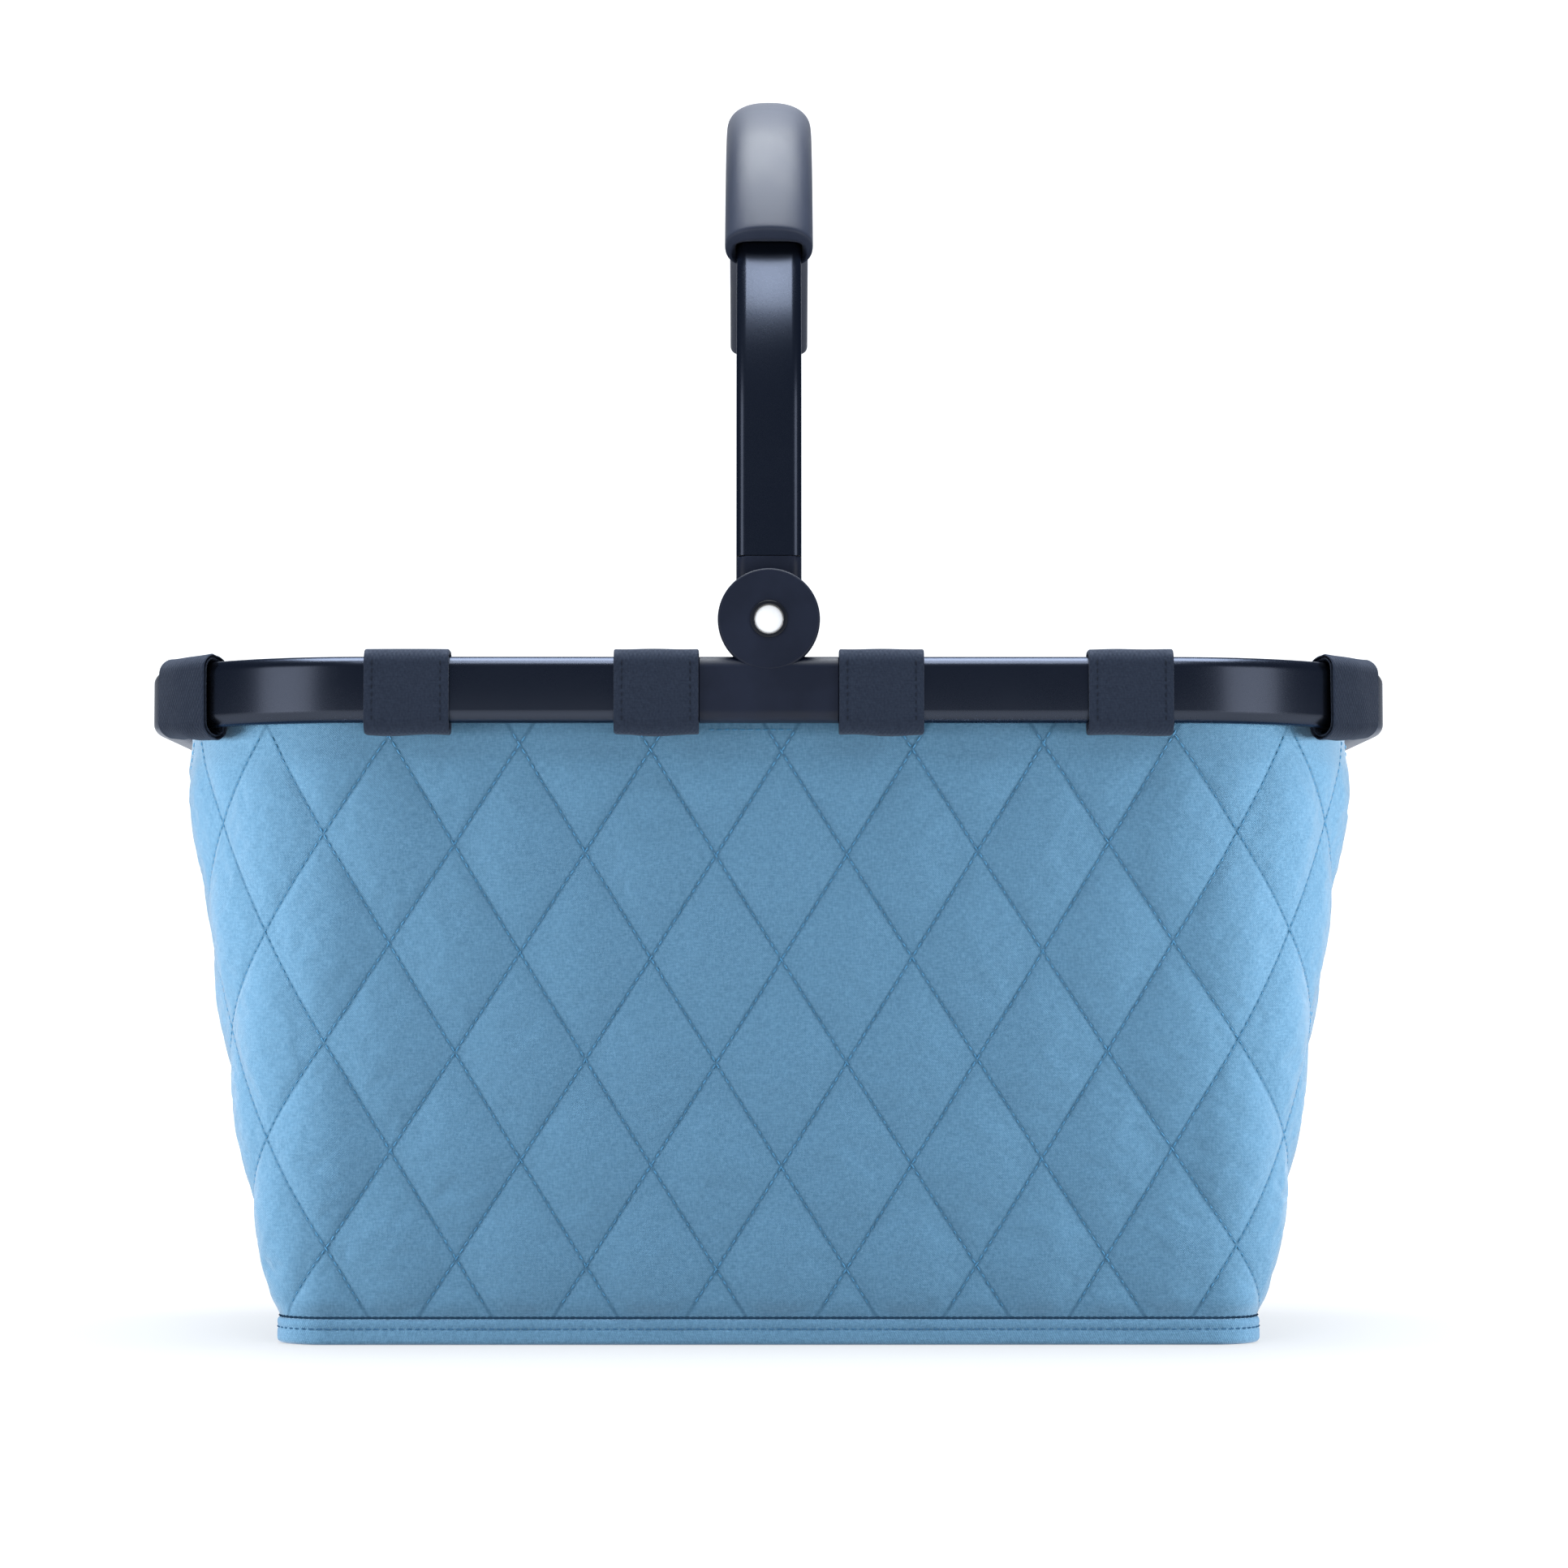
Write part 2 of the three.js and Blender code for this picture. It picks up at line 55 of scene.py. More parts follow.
# ---------------------------------------------------------------- camera

CAMERA_PLACE = (0.0, -1.640, 0.1229)
CAMERA_PITCH = 3.30
CAMERA_YAW = 0.214
LENS = 93.3
SENSOR = 36.0

camera_data = bpy.data.cameras.new("studio_camera")
camera_data.lens = LENS
camera_data.sensor_width = SENSOR
camera = bpy.data.objects.new("studio_camera", camera_data)
camera.location = CAMERA_PLACE
camera.rotation_euler = (math.radians(90 + CAMERA_PITCH), 0, math.radians(-CAMERA_YAW))
bpy.context.scene.collection.objects.link(camera)
bpy.context.scene.camera = camera

# ---------------------------------------------------------------- places and sizes from the frame


def box_mm(*nodes):
    """Lowest and highest corner round all the named CAD nodes, in millimetres."""
    boxes = [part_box(node) for node in nodes]
    low = np.min([tuple(box[0]) for box in boxes], axis=0) / MM
    high = np.max([tuple(box[1]) for box in boxes], axis=0) / MM
    return low, high


rim_low, rim_high = box_mm("frame_tube_left", "frame_tube_right")
bracket_low, bracket_high = box_mm("hinge_bracket_front")
rivet_low, rivet_high = box_mm("pivot_rivet_front")
washer_low, washer_high = box_mm("friction_washer_front")
pin_low, pin_high = box_mm("pivot_pin_front")
fitting_low, fitting_high = box_mm("handle_fitting_front")
arch_low, arch_high = box_mm("handle_tube")
grip_high = box_mm("grip")[1]
panel_low, panel_high = box_mm("quilted_panel_front", "quilted_panel_back")
lining_low = box_mm("lining")[0]
hem_low, hem_high = box_mm("top_hem")
binding_high = box_mm("base_binding")[1]
cover_low, cover_high = box_mm("base_panel")
tab_low, tab_high = box_mm("tab_front_3")
HINGE_Z = frame["record"]["behaviour"]["joints"][0]["pos_m"][2] / MM

GAP = 0.3

# Rim frame
TUBE_HEIGHT = rim_high[2] - rim_low[2]
TUBE_MIDDLE = (rim_high[2] + rim_low[2]) / 2
TUBE_THICK = 12.0
TUBE_EDGE = 4.5
RIM = (rim_high[0], rim_high[1], 90.0)  # half length, half depth and corner radius, outside
BRACKET_WIDTH = 52.4

# Hinges
FRONT = bracket_low[1]
DISC_RADIUS = bracket_high[2] - HINGE_Z
LUG_THICK = 5.4
LUG_PROUD = 0.06  # the disc stands this much in front of the panel, too little to see
LUG_EDGE = 0.9
PIVOT_HOLE = 5.55
PIVOT_SHAFT = 6.2
PIVOT_HEAD = rivet_high[0]
PIVOT_HEAD_THICK = 0.6
PIVOT_EDGE = 0.3
PIVOT_BEVEL = 0.15
PIN_EDGE = 0.5
PIN_FACE = 0.8  # share of the pin's radius that its flat face takes
BORE = PIVOT_SHAFT + GAP

# Handle
HANDLE_WIDTH = 2 * arch_high[0]
HANDLE_THICK = fitting_high[1] - fitting_low[1]
HANDLE_EDGE = 3.8
FITTING_RISE = 24.3
LEG_MIDDLE = (fitting_low[1] + fitting_high[1]) / 2
ARCH_RADIUS = -LEG_MIDDLE
ARCH_Z = arch_high[2] - ARCH_RADIUS - HANDLE_THICK / 2
LEG_BOTTOM = arch_low[2]
GRIP_SWEEP = math.radians(60.2)
GRIP_WIDTH = 2 * grip_high[0]
GRIP_DEPTH = 23.6
GRIP_OUT = 4.2
GRIP_ROUNDNESS = 2.4

# Bag
BINDING = (binding_high[0], binding_high[1], 20.0)
BINDING_HEIGHT = binding_high[2]
BINDING_THICK = 4.6
PANEL_THICK = 4.0
SEAM_GAP = 0.4
FIRM_Z = np.array([panel_low[2], 226.0, 228.0, panel_high[2]])
LEVEL_INSET = np.array([1.0, 13.3, 14.9, 14.9])
LEVEL_Z = np.array([FIRM_Z[0], 219.0, 231.0, FIRM_Z[-1]])  # cloth turns in under the tube more slowly
LEVEL_HALF_X, LEVEL_HALF_Y, LEVEL_CORNER = (
    np.interp(LEVEL_Z, FIRM_Z, np.array([foot, rim, rim, rim]) - LEVEL_INSET)
    for foot, rim in zip(BINDING, RIM)
)

# Tabs
TAB_WIDTH = tab_high[0] - tab_low[0]
TAB_THICK = 2.0
TAB_CLEAR = 0.6
TAB_OVER_TOP = 2.7
TAB_UNDER = 4.4
TAB_EDGE = 5.5
TAB_CENTRES = {1: -134.15, 2: -41.75, 3: 41.75, 4: 134.15}
CORNER_TAB_START = 42.0
CORNER_TAB_END = 63.5

BODY = "basket"
HANDLE = "handle"

# ---------------------------------------------------------------- finishes


def add_node(tree, kind, settings=None, **inputs):
    """A shader node with its settings and inputs; an input is a value, or another node's output."""
    node = tree.nodes.new("ShaderNode" + kind)
    for key, value in (settings or {}).items():
        setattr(node, key, value)
    for key, value in inputs.items():
        socket = node.inputs[int(key[1:])] if key[0] == "i" and key[1:].isdigit() else node.inputs[key]
        if isinstance(value, bpy.types.NodeSocket):
            tree.links.new(value, socket)
        else:
            socket.default_value = value
    return node


def new_finish(name, color, roughness, metallic=0.0, **sockets):
    """A material with its even values set on the shader itself."""
    finish = bpy.data.materials.new(name)
    finish.use_nodes = True
    shader = finish.node_tree.nodes["Principled BSDF"]
    shader.inputs["Base Color"].default_value = (*color, 1.0)
    shader.inputs["Roughness"].default_value = roughness
    shader.inputs["Metallic"].default_value = metallic
    for key, value in sockets.items():
        shader.inputs[key.replace("_", " ")].default_value = value
    return finish, finish.node_tree, shader


def placed(tree, scale, uv_map=None):
    """Coordinates on the piece; scale is one number for all axes, or one for each, per metre."""
    if uv_map:
        start = add_node(tree, "UVMap", {"uv_map": uv_map}).outputs["UV"]
    else:
        start = add_node(tree, "TexCoord").outputs["Object"]
    scale = scale if isinstance(scale, tuple) else (scale, scale, scale)
    return add_node(tree, "Mapping", Vector=start, Scale=scale).outputs["Vector"]


def noise(tree, scale, detail=3.0, rough=0.5, uv_map=None):
    where = placed(tree, scale, uv_map)
    return add_node(tree, "TexNoise", Vector=where, Scale=1.0, Detail=detail, Roughness=rough).outputs["Fac"]


def ranged(tree, value, low, high, to_low, to_high, smooth=False):
    """The value carried from one range to another, held at its ends."""
    settings = {"interpolation_type": "SMOOTHSTEP" if smooth else "LINEAR"}
    inputs = {"Value": value, "i1": low, "i2": high, "i3": to_low, "i4": to_high}
    return add_node(tree, "MapRange", settings, **inputs).outputs[0]


def maths(tree, operation, first, second=0.0, third=0.0):
    inputs = {"i0": first, "i1": second}
    if operation == "MULTIPLY_ADD":
        inputs["i2"] = third
    return add_node(tree, "Math", {"operation": operation}, **inputs).outputs[0]


def mixed(tree, share, first, second, blend="MIX"):
    """Two colours mixed by share."""
    node = add_node(tree, "Mix", {"data_type": "RGBA", "blend_type": blend})
    for socket, value in ((node.inputs[0], share), (node.inputs[6], first), (node.inputs[7], second)):
        if isinstance(value, bpy.types.NodeSocket):
            tree.links.new(value, socket)
        else:
            socket.default_value = value
    return node.outputs[2]


def bumped(tree, height, strength, distance, under=None):
    inputs = {"Height": height, "Strength": strength, "Distance": distance}
    if under is not None:
        inputs["Normal"] = under
    return add_node(tree, "Bump", **inputs).outputs["Normal"]


def blotched(tree, pattern, darker, lighter):
    """Two colours that pass softly into each other as a pattern rises."""
    return mixed(tree, ranged(tree, pattern, 0.35, 0.65, 0.0, 1.0), (*darker, 1.0), (*lighter, 1.0))


def wire(tree, shader, color, rough=None, normal=None):
    """Links a colour, and where they are given a roughness and a normal, to the shader."""
    for key, value in (("Base Color", color), ("Roughness", rough), ("Normal", normal)):
        if value is not None:
            tree.links.new(value, shader.inputs[key])


def plain_weave(tree, scale):
    """Height of a plain weave: the product of a sine across and a sine along, one turn per unit."""
    parts = add_node(tree, "SeparateXYZ", Vector=placed(tree, scale, "cloth"))
    across = maths(tree, "SINE", maths(tree, "MULTIPLY", parts.outputs[0], 2 * math.pi))
    along = maths(tree, "SINE", maths(tree, "MULTIPLY", parts.outputs[1], 2 * math.pi))
    return maths(tree, "MULTIPLY", across, along)


def heathered(tree, dark, middle, light):
    """Melange yarn colour: long streaks of darker and lighter yarn both ways over soft patches."""
    warp = noise(tree, (1500.0, 420.0, 1.0), 4.0, 0.65, "cloth")
    weft = noise(tree, (420.0, 1500.0, 1.0), 4.0, 0.65, "cloth")
    patches = noise(tree, 75.0, 5.0, 0.6, "cloth")
    yarn = maths(tree, "MULTIPLY", maths(tree, "ADD", warp, weft), 0.5)
    paler = mixed(tree, ranged(tree, yarn, 0.40, 0.60, 0.0, 1.0), (*dark, 1.0), (*light, 1.0))
    cloth = mixed(tree, 0.45, (*middle, 1.0), paler)
    patchy = ranged(tree, patches, 0.35, 0.65, 0.98, 1.02)
    shade = add_node(tree, "CombineColor", Red=patchy, Green=patchy, Blue=patchy).outputs[0]
    return mixed(tree, 1.0, cloth, shade, "MULTIPLY")


QUILT_DISTANCE = 41.4  # millimetres across one unit of the quilting coordinates


def quilt_distance(tree):
    """Distance in millimetres to the nearest stitched line, from the piece's quilting coordinates."""
    parts = add_node(tree, "SeparateXYZ", Vector=add_node(tree, "UVMap", {"uv_map": "quilt"}).outputs["UV"])
    rising = maths(tree, "PINGPONG", parts.outputs[0], 0.5)
    falling = maths(tree, "PINGPONG", parts.outputs[1], 0.5)
    return maths(tree, "MULTIPLY", maths(tree, "MINIMUM", rising, falling), QUILT_DISTANCE)


SKY_DARK = (0.029, 0.087, 0.149)
SKY_BLUE = (0.052, 0.135, 0.217)
SKY_LIGHT = (0.094, 0.192, 0.284)
SKY = (SKY_DARK, SKY_BLUE, SKY_LIGHT)


def quilted_cloth():
    """Heathered sky-blue polyester, puckered along the stitched lines, with painted shade darkening their
    grooves.
    """
    even = {"Sheen_Weight": 1.0, "Sheen_Roughness": 0.35, "Specular_IOR_Level": 0.25}
    finish, tree, shader = new_finish("heathered_quilt", SKY_BLUE, 0.86, **even)
    shader.inputs["Sheen Tint"].default_value = (0.85, 0.92, 1.0, 1.0)
    distance = quilt_distance(tree)
    # Painted shade: the colour darkens towards each stitched line, standing in for the shade in its groove.
    groove_shade = ranged(tree, distance, 0.15, 1.2, 0.0, 1.0, smooth=True)
    painted_groove_shade = mixed(tree, groove_shade, (0.55, 0.66, 0.70, 1.0), (1.0, 1.0, 1.0, 1.0))
    color = mixed(tree, 1.0, heathered(tree, *SKY), painted_groove_shade, "MULTIPLY")
    weave = plain_weave(tree, 1150.0)
    slub = noise(tree, 620.0, 3.0, 0.6, "cloth")
    pucker = noise(tree, (230.0, 150.0, 1.0), 2.0, uv_map="cloth")
    near = ranged(tree, distance, 0.3, 5.5, 1.0, 0.0, smooth=True)
    gathered = maths(tree, "MULTIPLY", pucker, near)
    normal = bumped(tree, gathered, 0.55, 0.0008)
    normal = bumped(tree, slub, 0.15, 0.00025, normal)
    normal = bumped(tree, weave, 0.35, 0.00012, normal)
    wire(tree, shader, color, ranged(tree, slub, 0.3, 0.7, 0.78, 0.94), normal)
    return finish


def tape_cloth(name, dark, middle, light, weave_scale, fuzz, sheen=0.3):
    """Woven tape: ribs across its width, fine fuzz, melange yarn."""
    finish, tree, shader = new_finish(name, middle, 0.9, Sheen_Weight=sheen, Sheen_Roughness=0.5)
    shader.inputs["Sheen Tint"].default_value = (0.75, 0.82, 1.0, 1.0)
    shader.inputs["Specular IOR Level"].default_value = 0.25
    weave = plain_weave(tree, (weave_scale, weave_scale * 0.55, 1.0))
    fibre = noise(tree, 900.0, 4.0, 0.7, "cloth")
    creases = noise(tree, 85.0, uv_map="cloth")
    normal = bumped(tree, creases, 0.5, 0.0016)
    normal = bumped(tree, fibre, 0.5, fuzz, normal)
    normal = bumped(tree, weave, 0.45, 0.00016, normal)
    rough = ranged(tree, fibre, 0.3, 0.7, 0.82, 0.97)
    wire(tree, shader, heathered(tree, dark, middle, light), rough, normal)
    return finish


def anodised_metal():
    """Dark blue-black anodised aluminium: soft clouds, fine grain, and a clear sealed skin."""
    finish, tree, shader = new_finish("dark_anodised", (0.044, 0.051, 0.069), 0.27, 1.0)
    shader.inputs["Specular Tint"].default_value = (0.40, 0.43, 0.50, 1.0)
    shader.inputs["Coat Weight"].default_value = 0.06
    shader.inputs["Coat Roughness"].default_value = 0.12
    shader.inputs["Coat IOR"].default_value = 1.55
    grain = noise(tree, 900.0, 4.0, 0.6)
    cloudy = noise(tree, 16.0)
    color = blotched(tree, cloudy, (0.042, 0.049, 0.067), (0.047, 0.054, 0.073))
    both = maths(tree, "MULTIPLY_ADD", grain, 0.35, maths(tree, "MULTIPLY", cloudy, 0.65))
    wire(tree, shader, color, ranged(tree, both, 0.3, 0.7, 0.24, 0.31), bumped(tree, grain, 0.10, 0.00008))
    return finish


def moulded_plastic(name, color, rough_low, rough_high, grain_depth):
    """Moulded plastic with an eroded-tool grain and slightly polished patches."""
    finish, tree, shader = new_finish(name, color, rough_low)
    shader.inputs["Specular IOR Level"].default_value = 0.32
    grain = noise(tree, 1700.0, 3.0, 0.6)
    wear = noise(tree, 42.0, 5.0, 0.6)
    shade = blotched(tree, wear, [0.86 * part for part in color], [1.22 * part for part in color])
    rough = ranged(tree, wear, 0.3, 0.7, rough_low, rough_high)
    wire(tree, shader, shade, rough, bumped(tree, grain, 0.25, grain_depth))
    return finish


def soft_grip():
    """Soft-touch sleeve: dark grey, satin, with a leathery grain and slightly shinier patches."""
    finish, tree, shader = new_finish("soft_touch_sleeve", (0.026, 0.034, 0.058), 0.5)
    shader.inputs["Specular IOR Level"].default_value = 0.32
    shader.inputs["Sheen Weight"].default_value = 0.04
    shader.inputs["Sheen Roughness"].default_value = 0.4
    pores = add_node(tree, "TexVoronoi", {"feature": "DISTANCE_TO_EDGE"}, Vector=placed(tree, 720.0))
    fine = noise(tree, 1900.0)
    handled = noise(tree, 30.0, 4.0)
    color = blotched(tree, handled, (0.023, 0.030, 0.052), (0.030, 0.038, 0.065))
    normal = bumped(tree, ranged(tree, pores.outputs["Distance"], 0.0, 0.25, 0.0, 1.0), 0.22, 0.00007)
    normal = bumped(tree, fine, 0.2, 0.00005, normal)
    wire(tree, shader, color, ranged(tree, handled, 0.3, 0.7, 0.42, 0.55), normal)
    return finish


def twisted_thread(name, color):
    """Polyester sewing thread: fine uneven plies, with a little gloss."""
    finish, tree, shader = new_finish(name, color, 0.75)
    shader.inputs["Specular IOR Level"].default_value = 0.2
    plies = noise(tree, 2600.0, 2.0)
    shade = blotched(tree, plies, color, [1.6 * part for part in color])
    wire(tree, shader, shade, normal=bumped(tree, plies, 0.5, 0.0001))
    return finish


LINING_GREY = ((0.022, 0.025, 0.030), (0.033, 0.037, 0.045), (0.050, 0.055, 0.064))
SLATE = ((0.012, 0.018, 0.034), (0.018, 0.026, 0.046), (0.030, 0.042, 0.068))
PIN_PAINTED_GLOW = 0.25


def glowing_white_nylon():
    """White nylon with a painted glow: an emission keeps it bright inside its rivet."""
    finish = moulded_plastic("glowing_white_nylon", (0.93, 0.93, 0.92), 0.4, 0.5, 0.00003)
    shader = finish.node_tree.nodes["Principled BSDF"]
    # Painted glow: the pin gives off light of its own, though it is no lamp.
    shader.inputs["Emission Color"].default_value = (1.0, 1.0, 1.0, 1.0)
    shader.inputs["Emission Strength"].default_value = PIN_PAINTED_GLOW
    return finish


FINISHES = {
    "quilt": (quilted_cloth(), "quilted_fabric"),
    "binding": (tape_cloth("heathered_binding", *SKY, 1150.0, 0.0002), "binding_fabric"),
    "lining": (tape_cloth("grey_lining", *LINING_GREY, 900.0, 0.0002), "lining_fabric"),
    "webbing": (tape_cloth("slate_webbing", *SLATE, 620.0, 0.0004, 0.08), "webbing"),
    "anodised": (anodised_metal(), "anodised_tube"),
    "pin": (glowing_white_nylon(), "pin_nylon"),
    "grip": (soft_grip(), "grip_foam"),
}
MOULDINGS = {
    "bracket": ("bracket_plastic", "slate_moulding", (0.006, 0.010, 0.025), 0.42, 0.55, 0.00006),
    "rivet": ("rivet_metal", "black_coated_rivet", (0.008, 0.009, 0.013), 0.28, 0.38, 0.00003),
    "washer": ("washer_plastic", "black_nylon", (0.009, 0.010, 0.012), 0.45, 0.6, 0.00004),
    "board": ("board_plastic", "black_sheet_plastic", (0.016, 0.017, 0.019), 0.5, 0.65, 0.0001),
}
THREADS = {
    "blue_thread": ("quilted_fabric", "teal_thread", (0.030, 0.105, 0.185)),
    # The next entry's dark line paints the shade in the groove above the base binding; it is not a sewn
    # thread.
    "seam_shade_line": ("binding_fabric", "seam_shade_thread", (0.012, 0.040, 0.075)),
    "slate_thread": ("webbing", "slate_thread", (0.010, 0.014, 0.024)),
    "binding_thread": ("binding_fabric", "blue_thread", (0.045, 0.13, 0.23)),
}
for make, table in ((moulded_plastic, MOULDINGS), (twisted_thread, THREADS)):
    for key, (slot, *values) in table.items():
        FINISHES[key] = (make(*values), slot)

# ---------------------------------------------------------------- surfaces


def together(*parts):
    """Points or directions from their separate coordinates, each spread over the common grid."""
    return np.stack(np.broadcast_arrays(*parts), axis=-1)


def run_along(path):
    """Length of a path from its first point to each of its points."""
    return np.concatenate([[0.0], np.cumsum(np.linalg.norm(np.diff(path, axis=0), axis=1))])


def dress(piece, finish, body):
    """Gives a piece its finish and the body that it rides on."""
    material, slot = FINISHES[finish]
    piece.data.materials.append(material)
    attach(piece, body)
    return piece


def new_piece(name, points, faces, finish, body, sharp=35.0, uv_maps=None):
    """A mesh object through points in millimetres, smooth but for edges that turn more than sharp."""
    mesh = bpy.data.meshes.new(name)
    mesh.from_pydata((points * MM).tolist(), [], faces)
    for uv_name, corners in (uv_maps or {}).items():
        layer = mesh.uv_layers.new(name=uv_name)
        values = np.zeros((len(mesh.loops), 2), dtype=np.float32)
        values[: len(corners)] = corners
        layer.data.foreach_set("uv", values.ravel())
    shell = bmesh.new()
    shell.from_mesh(mesh)
    bmesh.ops.recalc_face_normals(shell, faces=shell.faces)
    shell.to_mesh(mesh)
    shell.free()
    mesh.shade_smooth()
    mesh.set_sharp_from_angle(angle=math.radians(sharp))
    piece = bpy.data.objects.new(name, mesh)
    bpy.context.scene.collection.objects.link(piece)
    return dress(piece, finish, body)


def grid_corners(values):
    """The four corner values of each cell of a grid, in the order that its faces use."""
    cells = np.stack([values[:-1, :-1], values[:-1, 1:], values[1:, 1:], values[1:, :-1]], axis=2)
    return cells.reshape(-1, *values.shape[2:])


def skin(name, points, finish, body, wrap=(False, True), caps=False, uv=None, sharp=35.0):
    """A skin over a grid of points: one four-sided face per cell; wrap joins the last row or column to the
    first, and caps closes the first and last row with a flat face."""
    rows, columns = points.shape[:2]
    index = np.arange(rows * columns).reshape(rows, columns)
    first, last = index[0], index[-1]
    if wrap[0]:
        index = np.vstack([index, index[:1]])
    if wrap[1]:
        index = np.hstack([index, index[:, :1]])
    faces = grid_corners(index[..., None]).reshape(-1, 4).tolist()
    if caps:
        faces += [first[::-1].tolist(), last.tolist()]
    unit = {"cloth": MM, "quilt": 1.0}
    uv_maps = {key: grid_corners(value * unit[key]) for key, value in (uv or {}).items()}
    return new_piece(name, points.reshape(-1, 3), faces, finish, body, sharp, uv_maps)


def rounded_section(width, height, radius, steps, centre=(0.0, 0.0)):
    """Ring of a rounded rectangle: four quarter circles, each centred one radius inside its corner."""
    turn = (np.arange(4)[:, None] + np.linspace(0, 1, steps + 1)) * (np.pi / 2)
    right = np.array([1, -1, -1, 1])[:, None]
    upper = np.array([1, 1, -1, -1])[:, None]
    across = centre[0] + right * (width / 2 - radius) + radius * np.cos(turn)
    up = centre[1] + upper * (height / 2 - radius) + radius * np.sin(turn)
    return np.stack([across.ravel(), up.ravel()], axis=1)


def even_ring(ring, count):
    """The same closed ring at equal steps of its own length, with the outward direction at each point."""
    closed = np.vstack([ring, ring[:1]])
    along = run_along(closed)
    where = np.linspace(0, along[-1], count, endpoint=False)
    even = np.stack([np.interp(where, along, closed[:, axis]) for axis in (0, 1)], axis=1)
    ahead = np.roll(even, -1, axis=0) - np.roll(even, 1, axis=0)
    ahead /= np.linalg.norm(ahead, axis=1, keepdims=True)
    return even, np.stack([ahead[:, 1], -ahead[:, 0]], axis=1), where, along[-1]


def outline_at(s, half_x, half_y, radius):
    """A rounded rectangle seen from above, at arc length s from its front middle, positive to the right:
    straight, quarter bend, straight, quarter bend, straight. Gives x, y and the outward direction."""
    flat_x = half_x - radius
    flat_y = half_y - radius
    quarter = radius * np.pi / 2
    reach = np.abs(s)
    front_turn = np.clip(reach - flat_x, 0, quarter) / radius
    end_run = np.clip(reach - flat_x - quarter, 0, 2 * flat_y)
    back_turn = np.clip(reach - flat_x - quarter - 2 * flat_y, 0, quarter) / radius
    back_run = np.clip(reach - flat_x - 2 * quarter - 2 * flat_y, 0, None)
    side = np.where(s < 0, -1.0, 1.0)
    x = np.minimum(reach, flat_x) + radius * np.sin(front_turn) - radius * (1 - np.cos(back_turn)) - back_run
    y = -half_y + radius * (1 - np.cos(front_turn)) + end_run + radius * np.sin(back_turn)
    turned = front_turn + back_turn
    return side * x, y, side * np.sin(turned), -np.cos(turned)


def half_round(half_x, half_y, radius):
    """Arc length from the front middle of a rounded rectangle to its back middle."""
    return 2 * (half_x - radius) + 2 * (half_y - radius) + np.pi * radius


def rim_points(s, inset, z):
    """Points at arc length s round the rim, inset inwards from its outside, at height z."""
    x, y, out_x, out_y = outline_at(s, *RIM)
    return together(x - out_x * inset, y - out_y * inset, z)


def arch_points(s, across, out):
    """Points along the handle: s is arc length from the top of the arch, a half circle with straight legs
    below it; across is X, and out is the distance outwards from the tube's middle."""
    angle = np.clip(s / ARCH_RADIUS, -np.pi / 2, np.pi / 2)
    leg = np.abs(s - angle * ARCH_RADIUS)
    y = (ARCH_RADIUS + out) * np.sin(angle)
    z = ARCH_Z + (ARCH_RADIUS + out) * np.cos(angle) - leg
    return together(across, y, z)


def hinge_points(radius, angle, y):
    """Points round the front hinge's axis."""
    x = radius * np.cos(angle)
    z = HINGE_Z + radius * np.sin(angle)
    return together(x, y, z)


def turned(points):
    """The same points turned half round about Z, from the front to the back."""
    return points * np.array([-1.0, -1.0, 1.0])


ENDS = {"front": lambda points: points, "back": turned}

# ---------------------------------------------------------------- thread

STITCH_SIDES = np.array([[1.0, 0.0], [0.0, 1.0], [-1.0, 0.0], [0.0, -1.0]])
STITCH_STATIONS = np.array([0.0, 0.30, 0.70, 1.0])
STITCH_TAPER = np.array([0.45, 1.0, 1.0, 0.45])


def stitch_row(path, out, pitch, length, start=0.5):
    """Start, end and outward direction of each stitch on a path, at equal steps of its length."""
    along = run_along(path)
    first = np.arange(pitch * start, along[-1] - length, pitch)

    def pick(values, where):
        return np.stack([np.interp(where, along, values[:, axis]) for axis in range(3)], axis=1)

    return pick(path, first), pick(path, first + length), pick(out, first + length / 2)


def sew(name, rows, finish, body, radius=0.32, rise=0.25, sink=0.15):
    """Stitches as short thread arcs: each runs from its start to its end, rises by a parabola in between,
    and has a four-sided section that narrows where the thread goes into the cloth."""
    start, end, out = (np.concatenate(parts) for parts in zip(*rows))
    out = out / np.linalg.norm(out, axis=1, keepdims=True)
    run = end - start
    side = np.cross(run, out)
    side /= np.linalg.norm(side, axis=1, keepdims=True)
    t = STITCH_STATIONS[None, :, None]
    lift = rise * (1 - (2 * STITCH_STATIONS - 1) ** 2) - sink * np.abs(2 * STITCH_STATIONS - 1)
    spine = start[:, None] + t * run[:, None] + lift[None, :, None] * out[:, None]
    ring = STITCH_SIDES[:, :1] * side[:, None, None] + STITCH_SIDES[:, 1:] * out[:, None, None]
    points = spine[:, :, None] + radius * STITCH_TAPER[None, :, None, None] * ring
    index = np.arange(len(STITCH_STATIONS) * 4).reshape(-1, 4)
    around = np.hstack([index, index[:, :1]])
    sides = grid_corners(around[..., None]).reshape(-1, 4)
    one = np.vstack([sides, index[0][::-1], index[-1]])
    faces = (np.arange(len(start))[:, None, None] * index.size + one[None]).reshape(-1, 4)
    return new_piece(name, points.reshape(-1, 3), faces.tolist(), finish, body, 60.0)


# ---------------------------------------------------------------- rim frame

